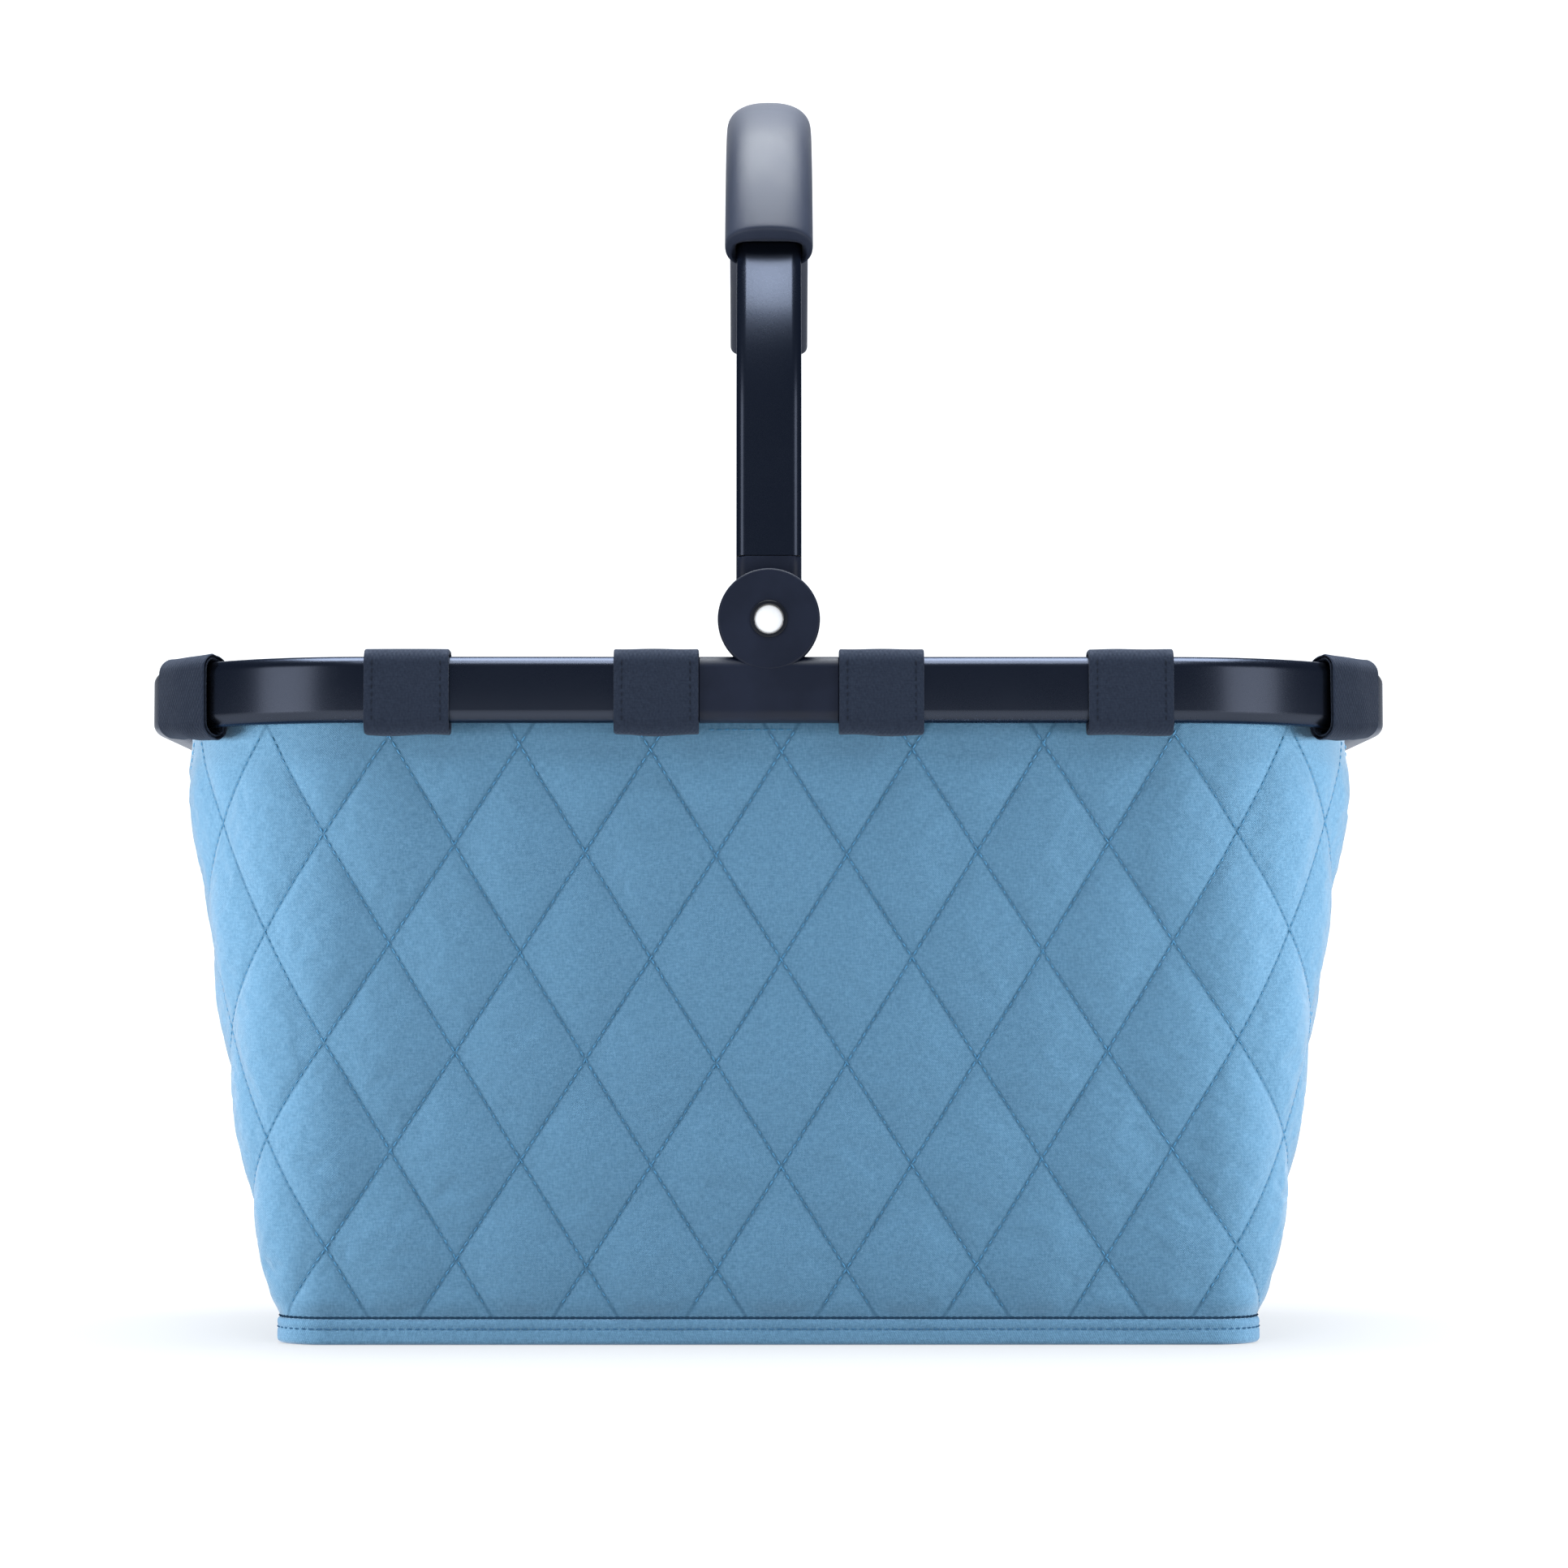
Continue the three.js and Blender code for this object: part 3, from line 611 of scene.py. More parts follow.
SECTION_STEPS = 8
RIM_STEP = 4.5
tube_ring = rounded_section(TUBE_THICK, TUBE_HEIGHT, TUBE_EDGE, SECTION_STEPS, (TUBE_THICK / 2, TUBE_MIDDLE))
tube_start = BRACKET_WIDTH / 2 + GAP
tube_end = half_round(*RIM) - tube_start
tube_stations = np.linspace(tube_start, tube_end, round((tube_end - tube_start) / RIM_STEP))
for side_name, side_sign in (("left", -1.0), ("right", 1.0)):
    tube_skin = rim_points(side_sign * tube_stations[:, None], tube_ring[None, :, 0], tube_ring[None, :, 1])
    rim_tube = skin(f"rim_tube_{side_name}", tube_skin, "anodised", BODY, caps=True)
    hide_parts(f"frame_tube_{side_name}")

# ---------------------------------------------------------------- hinges

TURN_STEPS = 128
turn_angles = np.linspace(0, 2 * np.pi, TURN_STEPS, endpoint=False)[:, None]


def quarter_arc(centre, radius, start, end, steps=6):
    """Points of an arc in a profile plane, from start to end in degrees."""
    angle = np.radians(np.linspace(start, end, steps))
    return np.stack([centre[0] + radius * np.cos(angle), centre[1] + radius * np.sin(angle)], axis=1)


def ring_profile(inner, outer, low, high, edge):
    """Closed profile of a turned ring as [radius, y], its outer edges rounded by edge."""
    return np.vstack([
        [[inner, low]],
        quarter_arc((outer - edge, low + edge), edge, -90, 0),
        quarter_arc((outer - edge, high - edge), edge, 0, 90),
        [[inner, high]],
    ])


def turned_ring(name, profile, finish, body, place):
    """A profile turned about the hinge axis."""
    points = hinge_points(profile[None, :, 0], turn_angles, profile[None, :, 1])
    return skin(name, place(points), finish, body, wrap=(True, True), sharp=40.0)


def joined(piece, other):
    """Unites two closed shells into one moulding and drops the second."""
    tool = piece.modifiers.new("moulded_in_one", "BOOLEAN")
    tool.object = other
    tool.operation = "UNION"
    tool.solver = "EXACT"
    graph = bpy.context.evaluated_depsgraph_get()
    mesh = bpy.data.meshes.new_from_object(piece.evaluated_get(graph))
    piece.modifiers.clear()
    piece.data = mesh
    other.parent = None
    bpy.data.objects.remove(other)
    mesh.shade_smooth()
    mesh.set_sharp_from_angle(angle=math.radians(35))
    shading = piece.modifiers.new("even_shading", "WEIGHTED_NORMAL")
    shading.keep_sharp = True


BRACKET_END = 0.5
bracket_stations = np.array([-1.0, -1.0, -0.4, 0.4, 1.0, 1.0]) * BRACKET_WIDTH / 2
bracket_stations[1] += BRACKET_END
bracket_stations[-2] -= BRACKET_END
bracket_shrink = np.array([BRACKET_END, 0, 0, 0, 0, BRACKET_END])
PANEL_CENTRE = np.array([TUBE_THICK / 2, TUBE_MIDDLE])
PANEL_HALF = np.array([TUBE_THICK / 2, TUBE_HEIGHT / 2])
panel_inset = 1 - bracket_shrink[:, None, None] / PANEL_HALF[None, None, :]
panel_rings = PANEL_CENTRE + (tube_ring - PANEL_CENTRE)[None] * panel_inset

rivet_profile = np.vstack([
    [[PIVOT_HOLE, rivet_low[1] + PIVOT_BEVEL], [PIVOT_HOLE + PIVOT_BEVEL, rivet_low[1]]],
    quarter_arc((PIVOT_HEAD - PIVOT_EDGE, rivet_low[1] + PIVOT_EDGE), PIVOT_EDGE, -90, 0),
    [[PIVOT_HEAD, rivet_low[1] + PIVOT_HEAD_THICK], [PIVOT_SHAFT, rivet_low[1] + PIVOT_HEAD_THICK]],
    [[PIVOT_SHAFT, rivet_high[1] - PIVOT_HEAD_THICK], [PIVOT_HEAD, rivet_high[1] - PIVOT_HEAD_THICK]],
    quarter_arc((PIVOT_HEAD - PIVOT_EDGE, rivet_high[1] - PIVOT_EDGE), PIVOT_EDGE, 0, 90),
    [[PIVOT_HOLE + PIVOT_BEVEL, rivet_high[1]], [PIVOT_HOLE, rivet_high[1] - PIVOT_BEVEL]],
])
pin_edge = quarter_arc((pin_high[0] - PIN_EDGE, 0), PIN_EDGE, 90, 0, 5)
pin_face = [PIN_FACE * pin_high[0]]
pin_radius = np.concatenate([pin_face, pin_edge[:, 0], pin_edge[::-1, 0], pin_face])
pin_sink = np.concatenate([[0.0], PIN_EDGE - pin_edge[:, 1]])
pin_y = np.concatenate([pin_low[1] + pin_sink, (pin_high[1] - pin_sink)[::-1]])
pin_skin = hinge_points(pin_radius[:, None], turn_angles.T, pin_y[:, None])
washer_profile = ring_profile(BORE, washer_high[0], washer_low[1], washer_high[1], PIVOT_EDGE)
lug_profile = ring_profile(BORE, DISC_RADIUS, FRONT - LUG_PROUD, FRONT + LUG_THICK, LUG_EDGE)


def foot_reach(angle, inset):
    """Distance from the hinge axis to the outline of the handle's foot, inset from its sides: a half
    circle below the axis, upright sides above it and a level top."""
    half = HANDLE_WIDTH / 2 - inset
    sides = half / np.maximum(np.abs(np.cos(angle)), 1e-6)
    top = FITTING_RISE / np.maximum(np.sin(angle), 1e-6)
    return np.where(np.sin(angle) > 0, np.minimum(sides, top), half)


corner_angle = math.atan2(FITTING_RISE, HANDLE_WIDTH / 2)
foot_angles = np.sort(np.concatenate([
    turn_angles[:, 0],
    [corner_angle, np.pi - corner_angle],
    np.arctan2(FITTING_RISE, HANDLE_WIDTH / 2 - np.array([1.0, 2.4, HANDLE_EDGE])),
]))[:, None]
foot_edge = quarter_arc((0, 0), HANDLE_EDGE, 0, 90, 9)
foot_inset = HANDLE_EDGE - foot_edge[:, 0]
foot_y = HANDLE_THICK / 2 - HANDLE_EDGE + foot_edge[:, 1]
foot_outside = foot_reach(foot_angles, np.concatenate([foot_inset[::-1], foot_inset])[None, :])
foot_bore = np.full_like(foot_angles, BORE)
foot_profile = np.hstack([foot_bore, foot_outside, foot_bore])
foot_half = HANDLE_THICK / 2
foot_depth = LEG_MIDDLE + np.concatenate([[-foot_half], -foot_y[::-1], foot_y, [foot_half]])[None, :]

for end_name, place in ENDS.items():
    panel_skin = rim_points(bracket_stations[:, None], panel_rings[..., 0], panel_rings[..., 1])
    bracket = skin(f"hinge_moulding_{end_name}", place(panel_skin), "bracket", BODY, caps=True)
    lug = turned_ring(f"hinge_disc_{end_name}", lug_profile, "bracket", BODY, place)
    joined(bracket, lug)
    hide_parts(f"hinge_bracket_{end_name}")

    rivet = turned_ring(f"hollow_rivet_{end_name}", rivet_profile, "rivet", BODY, place)
    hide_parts(f"pivot_rivet_{end_name}")

    pin = skin(f"nylon_pin_{end_name}", place(pin_skin), "pin", BODY, caps=True, sharp=40.0)
    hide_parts(f"pivot_pin_{end_name}")

    washer = turned_ring(f"nylon_washer_{end_name}", washer_profile, "washer", BODY, place)
    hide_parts(f"friction_washer_{end_name}")

    foot = skin(
        f"handle_foot_{end_name}",
        place(hinge_points(foot_profile, foot_angles, foot_depth)),
        "bracket",
        HANDLE,
        wrap=(True, True),
    )
    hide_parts(f"handle_fitting_{end_name}")

# ---------------------------------------------------------------- handle

ARCH_STEP = 4.0
leg_length = ARCH_Z - LEG_BOTTOM
arch_half = ARCH_RADIUS * np.pi / 2 + leg_length
arch_stations = np.linspace(-arch_half, arch_half, round(2 * arch_half / ARCH_STEP))[:, None]
handle_ring = rounded_section(HANDLE_WIDTH, HANDLE_THICK, HANDLE_EDGE, SECTION_STEPS)
arch_skin = arch_points(arch_stations, handle_ring[None, :, 0], handle_ring[None, :, 1])
arch = skin("handle_arch", arch_skin, "anodised", HANDLE, caps=True)
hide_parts("handle_tube")


def super_ellipse(width, height, exponent, angle):
    """Ring |x/a|^n + |y/b|^n = 1 at the given angles."""
    across = np.abs(np.cos(angle)) ** exponent
    up = np.abs(np.sin(angle)) ** exponent
    reach = (across + up) ** (-1 / exponent)
    return np.stack([width / 2 * reach * np.cos(angle), height / 2 * reach * np.sin(angle)], axis=-1)


GRIP_AROUND = 72
GRIP_STEP = 3.0
SLEEVE_BORE = (HANDLE_WIDTH + 1.0, HANDLE_THICK + 1.0, 5.0)
grip_angles = np.linspace(0, 2 * np.pi, GRIP_AROUND, endpoint=False)
grip_outside = super_ellipse(GRIP_WIDTH, GRIP_DEPTH, GRIP_ROUNDNESS, grip_angles) + [0.0, GRIP_OUT]
grip_bore = super_ellipse(*SLEEVE_BORE, grip_angles)
seam_groove = 0.5 * np.exp(-((np.degrees(grip_angles) - 270) / 3.0) ** 2)
grip_outside[:, 1] += seam_groove

# Profile of one end, from the outer skin to the bore: a rounded edge, a flat face and a funnel. share goes
# from the outside to the bore, and depth is measured into the sleeve from its end.
edge_turn = np.linspace(0, np.pi / 2, 6)
end_share = np.concatenate([0.12 * (1 - np.cos(edge_turn)), [0.3, 0.5, 0.62, 0.80, 1.0]])
end_depth = np.concatenate([1.5 * (1 - np.sin(edge_turn)), [0.0, 0.0, 0.1, 1.4, 2.4]])
sleeve_half = ARCH_RADIUS * GRIP_SWEEP
sleeve_run = np.linspace(-sleeve_half + 3.0, sleeve_half - 3.0, round(2 * sleeve_half / GRIP_STEP))
bore_run = sleeve_run[::-1]
sleeve_s = np.concatenate([sleeve_run, sleeve_half - end_depth, bore_run, end_depth[::-1] - sleeve_half])
sleeve_share = np.concatenate([np.zeros_like(sleeve_run), end_share, np.ones_like(bore_run), end_share[::-1]])
sleeve_rings = grip_outside[None] + sleeve_share[:, None, None] * (grip_bore - grip_outside)[None]
sleeve_skin = arch_points(sleeve_s[:, None], sleeve_rings[..., 0], sleeve_rings[..., 1])
sleeve = skin("grip_sleeve", sleeve_skin, "grip", HANDLE, wrap=(True, True), sharp=50.0)
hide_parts("grip")

# ---------------------------------------------------------------- quilted walls

QUILT_WIDTH = 48.9
QUILT_HEIGHT = 77.6
QUILT_CENTRE = (4.7, 222.4)
QUILT_RISE = 0.0003
RISE_FADES = 300.0
COARSE_STEP = 2.7
BULGE = 2.3
START_PUFF = 3.8
PUFF_REACH = 8.0
GROOVE_HALF = 1.3
MOST_PUFF = 3.2
WALL_TOP_FADE = (208.0, 231.0)
PRESSURE = 1.2
CLOTH_FRAMES = 20


def bag_outline(z, inset=0.0):
    """Half length, half depth and corner radius of the bag at height z."""
    return tuple(np.interp(z, LEVEL_Z, level) - inset for level in (LEVEL_HALF_X, LEVEL_HALF_Y, LEVEL_CORNER))


def wall_frame(s, z):
    """Point on the bag's plain wall at arc length s and height z, and the outward direction there."""
    x, y, out_x, out_y = outline_at(s, *bag_outline(z))
    points = together(x, y, z)
    return points, together(out_x, out_y, 0.0)


def wall_half(z):
    """Arc length from the front middle to the side seam at height z."""
    half_x, half_y, radius = bag_outline(z)
    return (half_x - radius) + (half_y - radius) + radius * np.pi / 2 - SEAM_GAP / 2


def quilt_rise(s):
    """The rows of diamonds rise towards the ends with the square of the distance, less so past the bends."""
    reach = np.abs(s) / (1 + (np.abs(s) / RISE_FADES) ** 6) ** (1 / 6)
    return QUILT_RISE * reach ** 2


def quilt_coordinates(s, z):
    """Two slanting coordinates that are whole numbers on the rising and on the falling stitched lines."""
    across = (s - QUILT_CENTRE[0]) / QUILT_WIDTH
    up = (z - quilt_rise(s) - QUILT_CENTRE[1]) / QUILT_HEIGHT
    return across + up, across - up


def line_distances(s, z):
    rising, falling = quilt_coordinates(s, z)
    return [QUILT_DISTANCE * np.abs(value - np.round(value)) for value in (rising, falling)]


def smooth_step(value, low, high):
    t = np.clip((value - low) / (high - low), 0, 1)
    return t * t * (3 - 2 * t)


def edge_fade(s, z):
    """0 at the wall's edges and 1 a little way in from them."""
    to_seam = wall_half(z) - np.abs(s)
    sides = 1 - np.exp(-(to_seam / 5.0) ** 2)
    foot = 1 - np.exp(-((z - panel_low[2]) / 4.0) ** 2)
    return sides * foot * (1 - smooth_step(z, *WALL_TOP_FADE))


def wall_bulge(s, z):
    """How far the hanging bag stands out of a straight wall: most at a third of its height."""
    up = np.clip((z - LEVEL_Z[0]) / (LEVEL_Z[1] - LEVEL_Z[0]), 0, 1)
    return BULGE * np.sin(np.pi * up ** 0.65)


def dome(s, z):
    """Puff between the stitched lines: rises from each line as one minus an exponential."""
    rising, falling = line_distances(s, z)
    return (1 - np.exp(-rising / PUFF_REACH)) * (1 - np.exp(-falling / PUFF_REACH))


def wall_grid(columns, rows):
    """Arc lengths and heights of an even grid over one wall, from seam to seam and from foot to top."""
    z = np.linspace(LEVEL_Z[0], LEVEL_Z[-1], rows)[:, None]
    s = np.linspace(-1, 1, columns)[None, :] * wall_half(z)
    return s, np.broadcast_to(z, s.shape)


def halved_steps(field):
    """A grid of vectors with a new value half way between each two, by the four-point cubic rule."""
    for axis in (0, 1):
        field = np.swapaxes(field, 0, axis)
        padded = np.concatenate([2 * field[:1] - field[1:2], field, 2 * field[-1:] - field[-2:-1]])
        between = (9 * (padded[1:-2] + padded[2:-1]) - padded[:-3] - padded[3:]) / 16
        finer = np.empty((2 * len(field) - 1, *field.shape[1:]))
        finer[0::2] = field
        finer[1::2] = between
        field = np.swapaxes(finer, 0, axis)
    return field


COLUMNS = round(2 * wall_half(LEVEL_Z[-1]) / COARSE_STEP) + 1
ROWS = round((LEVEL_Z[-1] - LEVEL_Z[0]) / COARSE_STEP) + 1


def blown_cloth():
    """Movement of each point of a coarse wall when cloth, held on its stitched lines and edges and cut a
    little larger than the wall, is blown out by the wadding behind it."""
    s, z = wall_grid(COLUMNS, ROWS)
    base, out = wall_frame(s, z)
    ripple = np.random.default_rng(7).normal(0, 0.02, s.shape)
    height = wall_bulge(s, z) + edge_fade(s, z) * (START_PUFF * dome(s, z) + ripple)
    start = base + height[..., None] * out
    index = np.arange(s.size).reshape(s.shape)
    mesh = bpy.data.meshes.new("cloth_trial")
    faces = grid_corners(index[..., None]).reshape(-1, 4)
    mesh.from_pydata((start.reshape(-1, 3) * MM).tolist(), [], faces.tolist())
    trial = bpy.data.objects.new("cloth_trial", mesh)
    bpy.context.scene.collection.objects.link(trial)
    nearest = np.minimum(*line_distances(s, z))
    held = (nearest < 0.45 * COARSE_STEP) | (edge_fade(s, z) < 0.25)
    group = trial.vertex_groups.new(name="stitched")
    group.add(index[held].tolist(), 1.0, "REPLACE")
    cloth = trial.modifiers.new("wadding", "CLOTH")
    settings = cloth.settings
    settings.quality = 4
    settings.mass = 0.0004
    settings.vertex_group_mass = "stitched"
    settings.tension_stiffness = 12
    settings.compression_stiffness = 12
    settings.shear_stiffness = 4
    settings.bending_stiffness = 0.5
    settings.shrink_min = -0.004
    settings.use_pressure = True
    settings.uniform_pressure_force = PRESSURE
    settings.effector_weights.gravity = 0
    cloth.point_cache.frame_start = 1
    cloth.point_cache.frame_end = CLOTH_FRAMES
    scene = bpy.context.scene
    for number in range(1, CLOTH_FRAMES + 1):
        scene.frame_set(number)
    graph = bpy.context.evaluated_depsgraph_get()
    result = trial.evaluated_get(graph).to_mesh()
    places = np.empty(s.size * 3, dtype=np.float32)
    result.vertices.foreach_get("co", places)
    scene.frame_set(1)
    bpy.data.objects.remove(trial)
    moved = places.reshape(*s.shape, 3) / MM - start
    reach = np.linalg.norm(moved, axis=2, keepdims=True)
    print("CLOTH moved: mean %.2f, most %.2f" % (reach.mean(), reach.max()))
    return moved * np.minimum(1, MOST_PUFF / np.maximum(reach, 1e-6))


s_fine, z_fine = wall_grid(2 * COLUMNS - 1, 2 * ROWS - 1)
blown = halved_steps(blown_cloth())
start_puff = START_PUFF

wall_base, wall_out = wall_frame(s_fine, z_fine)
nearest_line = np.minimum(*line_distances(s_fine, z_fine))
pull_in = 1 - np.exp(-(nearest_line / GROOVE_HALF) ** 2)
fade = edge_fade(s_fine, z_fine)
puff_height = wall_bulge(s_fine, z_fine) + start_puff * dome(s_fine, z_fine) * fade
outer_wall = wall_base + puff_height[..., None] * wall_out + blown * (pull_in * fade)[..., None]

# The inner face, the turned-in top and foot, and the same for the whole wall as one closed shell: for each
# column, up the outer face and down the inner one.
inner_z = np.linspace(LEVEL_Z[-1], LEVEL_Z[0], 14)[:, None]
inner_s = np.linspace(-1, 1, s_fine.shape[1])[None, :] * wall_half(inner_z)
inner_face, inner_out = wall_frame(inner_s, np.broadcast_to(inner_z, inner_s.shape))
inner_face = inner_face - PANEL_THICK * inner_out
wall_ring = np.swapaxes(np.concatenate([outer_wall, inner_face]), 0, 1)
ring_s = np.concatenate([s_fine, inner_s, s_fine[:1]]).T
ring_z = np.concatenate([z_fine, np.broadcast_to(inner_z, inner_s.shape), z_fine[:1]]).T
cloth_uv = np.stack([ring_s, ring_z], axis=-1)
quilt_uv = np.stack(quilt_coordinates(ring_s, ring_z), axis=-1)


def quilt_lines():
    """Both families of stitched lines over the wall, as arc lengths and heights: on each line the height
    goes up or down by one diamond for each diamond across."""
    half = wall_half(LEVEL_Z[-1])
    s = np.linspace(-half, half, 900)
    lines = []
    for number in range(-12, 13):
        for slope in (-1.0, 1.0):
            up = slope * ((s - QUILT_CENTRE[0]) / QUILT_WIDTH - number)
            lines.append((s, QUILT_CENTRE[1] + QUILT_HEIGHT * up + quilt_rise(s)))
    return lines


QUILT_STITCH = (3.3, 2.5)  # pitch and length, as in the other stitch values
HEM_STITCH = (2.9, 2.2)
SEAM_STITCH = (3.0, 2.3)
STITCH_TOP = 231.0
HEM_STITCH_Z = 230.6
HEM_STITCH_RUN = (-24.0, 11.0)
SEAM_STITCH_IN = 3.0
quilt_rows = []
fabric_pieces = []
for line_s, line_z in quilt_lines():
    keep = (line_z > LEVEL_Z[0] + 3.5) & (line_z < STITCH_TOP)
    keep &= np.abs(line_s) < wall_half(np.clip(line_z, LEVEL_Z[0], LEVEL_Z[-1])) - 4.0
    if keep.sum() < 8:
        continue
    line_base, line_out = wall_frame(line_s[keep], line_z[keep])
    line_points = line_base + wall_bulge(line_s[keep], line_z[keep])[:, None] * line_out
    quilt_rows.append(stitch_row(line_points, line_out, *QUILT_STITCH))

hem_s = np.linspace(*HEM_STITCH_RUN, 200)
hem_base, hem_out = wall_frame(hem_s, np.full_like(hem_s, HEM_STITCH_Z))
hem_row = stitch_row(hem_base + 0.1 * hem_out, hem_out, *HEM_STITCH)
seam_z = np.linspace(LEVEL_Z[0] + 3, STITCH_TOP, 300)
for seam_side in (-1.0, 1.0):
    seam_s = seam_side * (wall_half(seam_z) - SEAM_STITCH_IN)
    seam_base, seam_out = wall_frame(seam_s, seam_z)
    seam_lift = wall_bulge(seam_s, seam_z) + START_PUFF * 0.3 * edge_fade(seam_s, seam_z)
    quilt_rows.append(stitch_row(seam_base + seam_lift[:, None] * seam_out, seam_out, *SEAM_STITCH))

for end_name, place in ENDS.items():
    wall = skin(
        f"quilted_wall_{end_name}",
        place(wall_ring),
        "quilt",
        BODY,
        caps=True,
        uv={"cloth": cloth_uv, "quilt": quilt_uv},
        sharp=60.0,
    )
    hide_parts(f"quilted_panel_{end_name}")
    fabric_pieces.append(wall)
    placed_rows = [tuple(place(part) for part in row) for row in quilt_rows + [hem_row]]
    fabric_pieces.append(sew(f"quilt_stitches_{end_name}", placed_rows, "blue_thread", BODY))

# ---------------------------------------------------------------- lining, hem and base

LINING_COLUMNS = 420
FOLD = 0.8
around_share = np.linspace(-1, 1, LINING_COLUMNS, endpoint=False)[None, :]


def outline_rings(z, half_x, half_y, radius, share):
    """Rings round rounded rectangles, one for each height, at shares of their length from the back."""
    radius = np.maximum(radius, 2.0)
    s = share * half_round(half_x, half_y, radius)
    x, y, out_x, out_y = outline_at(s, half_x, half_y, radius)
    points = together(x, y, z)
    return points, together(out_x, out_y, 0.0), s


def floor_and_wall(inset, floor_z, wall_rows, floor_rows):
    """Heights and outlines of a bag-shaped shell, from the middle of its floor to its top."""
    deepest = bag_outline(LEVEL_Z[0], inset)[1] - 3.0
    shrink = np.concatenate([np.linspace(deepest, 0.6, floor_rows), np.zeros(wall_rows)])
    z = np.concatenate([np.full(floor_rows, floor_z), np.linspace(floor_z + 0.6, LEVEL_Z[-1], wall_rows)])
    half_x, half_y, radius = bag_outline(z, inset)
    return z[:, None], *[level[:, None] for level in (half_x - shrink, half_y - shrink, radius - shrink)]


lining_floor = lining_low[2]
outer_shell = floor_and_wall(PANEL_THICK + GAP, lining_floor, 30, 12)
inner_shell = floor_and_wall(PANEL_THICK + GAP + 1.0, lining_floor + 1.0, 80, 30)
outer_lining, _, outer_arc = outline_rings(*outer_shell, around_share)
inner_lining, inward, inner_arc = outline_rings(*inner_shell, around_share)
fold_z = inner_shell[0]
wave = (
    np.sin(inner_arc / 31.0 + 0.9 * np.sin(fold_z / 47.0))
    + 0.7 * np.sin(inner_arc / 13.7 + 1.3 + fold_z / 29.0)
    + 0.5 * np.sin(fold_z / 11.0 + 2.0 * np.sin(inner_arc / 53.0))
)
fold_fade = smooth_step(fold_z, 12.0, 60.0) * (1 - smooth_step(fold_z, 215.0, 240.0))
inner_lining = inner_lining - (FOLD * (wave + 2.2) / 2 * fold_fade)[..., None] * inward
floor_fade = 1 - smooth_step(fold_z, lining_floor + 1.0, lining_floor + 1.3)
quilted_floor = 0.35 * (np.sin(inner_lining[..., 0] / 23.0) * np.sin(inner_lining[..., 1] / 19.0) + 1)
inner_lining[..., 2] += quilted_floor * floor_fade
lining_skin = np.concatenate([outer_lining, inner_lining[::-1]])
lining_s = np.concatenate([outer_arc, inner_arc[::-1]])
lining_run = run_along(lining_skin[:, 0])
lining_uv = together(lining_s, lining_run[:, None])
lining_uv = np.concatenate([lining_uv, lining_uv[:, -1:] * [1, 1] + [1.5, 0]], axis=1)
bag_lining = skin("bag_lining", lining_skin, "lining", BODY, caps=True, uv={"cloth": lining_uv}, sharp=60.0)
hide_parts("lining")


def band(name, outline, section, finish, columns, node, puff=0.0):
    """A closed band: a section of [inset, height] carried round an outline; the outside may puff out
    between stitches with a slow wave."""
    share = np.linspace(-1, 1, columns, endpoint=False)[:, None]
    s = share * half_round(*outline)
    x, y, out_x, out_y = outline_at(s, *outline)
    inset = section[None, :, 0] + puff * np.sin(s / 9.0 + np.sin(s / 31.0)) * (section[None, :, 0] < 0.6)
    points = together(x - out_x * inset, y - out_y * inset, section[None, :, 1])
    closed = np.vstack([section, section[:1]])
    along = run_along(closed)
    s_closed = np.vstack([s, -s[:1]])
    uv = together(s_closed, along[None, :])
    piece = skin(name, points, finish, BODY, wrap=(True, True), uv={"cloth": uv}, sharp=60.0)
    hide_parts(node)
    return piece


HEM_OUTLINE = tuple(size - LEVEL_INSET[-1] for size in RIM)
HEM_THICK = 5.3
hem_middle = (hem_low[2] + hem_high[2]) / 2
hem_ring = rounded_section(HEM_THICK, hem_high[2] - hem_low[2], 1.7, 6, (HEM_THICK / 2, hem_middle))
band("hem_tape", HEM_OUTLINE, hem_ring, "webbing", 420, "top_hem")

EDGE_STITCH = (3.1, 2.3)
BINDING_STITCH_Z = 6.0
binding_centre = (BINDING_THICK / 2, BINDING_HEIGHT / 2)
binding_ring = even_ring(rounded_section(BINDING_THICK, BINDING_HEIGHT, 1.9, 6, binding_centre), 60)[0]
middle_groove = 0.35 * np.exp(-((binding_ring[:, 1] - BINDING_STITCH_Z) / 0.9) ** 2)
binding_ring[:, 0] += middle_groove * (binding_ring[:, 0] < 0.5)
strip = band("base_binding_strip", BINDING, binding_ring, "binding", 760, "base_binding", puff=0.12)
fabric_pieces.append(strip)


def round_row(outline, z, lift, pitch, length, columns=1400):
    """Stitches all the way round an outline at one height, lifted outwards."""
    half = half_round(*outline)
    s = np.linspace(-half, half, columns)
    x, y, out_x, out_y = outline_at(s, *outline)
    out = together(out_x, out_y, 0.0)
    points = together(x, y, z) + lift * out
    return stitch_row(points, out, pitch, length)


# Painted shade: a continuous dark thread line along the top of the binding stands in for the shade in the
# groove between wall and binding.
SEAM_SHADE_STEP = 2.4
seam_shade_row = round_row(BINDING, BINDING_HEIGHT + 0.2, -1.1, SEAM_SHADE_STEP, SEAM_SHADE_STEP)
sew("painted_seam_shade", [seam_shade_row], "seam_shade_line", BODY, radius=0.75, rise=0.0, sink=0.0)
sew("binding_stitches", [round_row(BINDING, BINDING_STITCH_Z, -0.25, *EDGE_STITCH)], "binding_thread", BODY)
hem_inside = tuple(size - HEM_THICK for size in HEM_OUTLINE)
hem_start, hem_end, hem_outward = round_row(hem_inside, hem_middle, 0.0, *EDGE_STITCH)
sew("hem_stitches", [(hem_start, hem_end, -hem_outward)], "slate_thread", BODY)

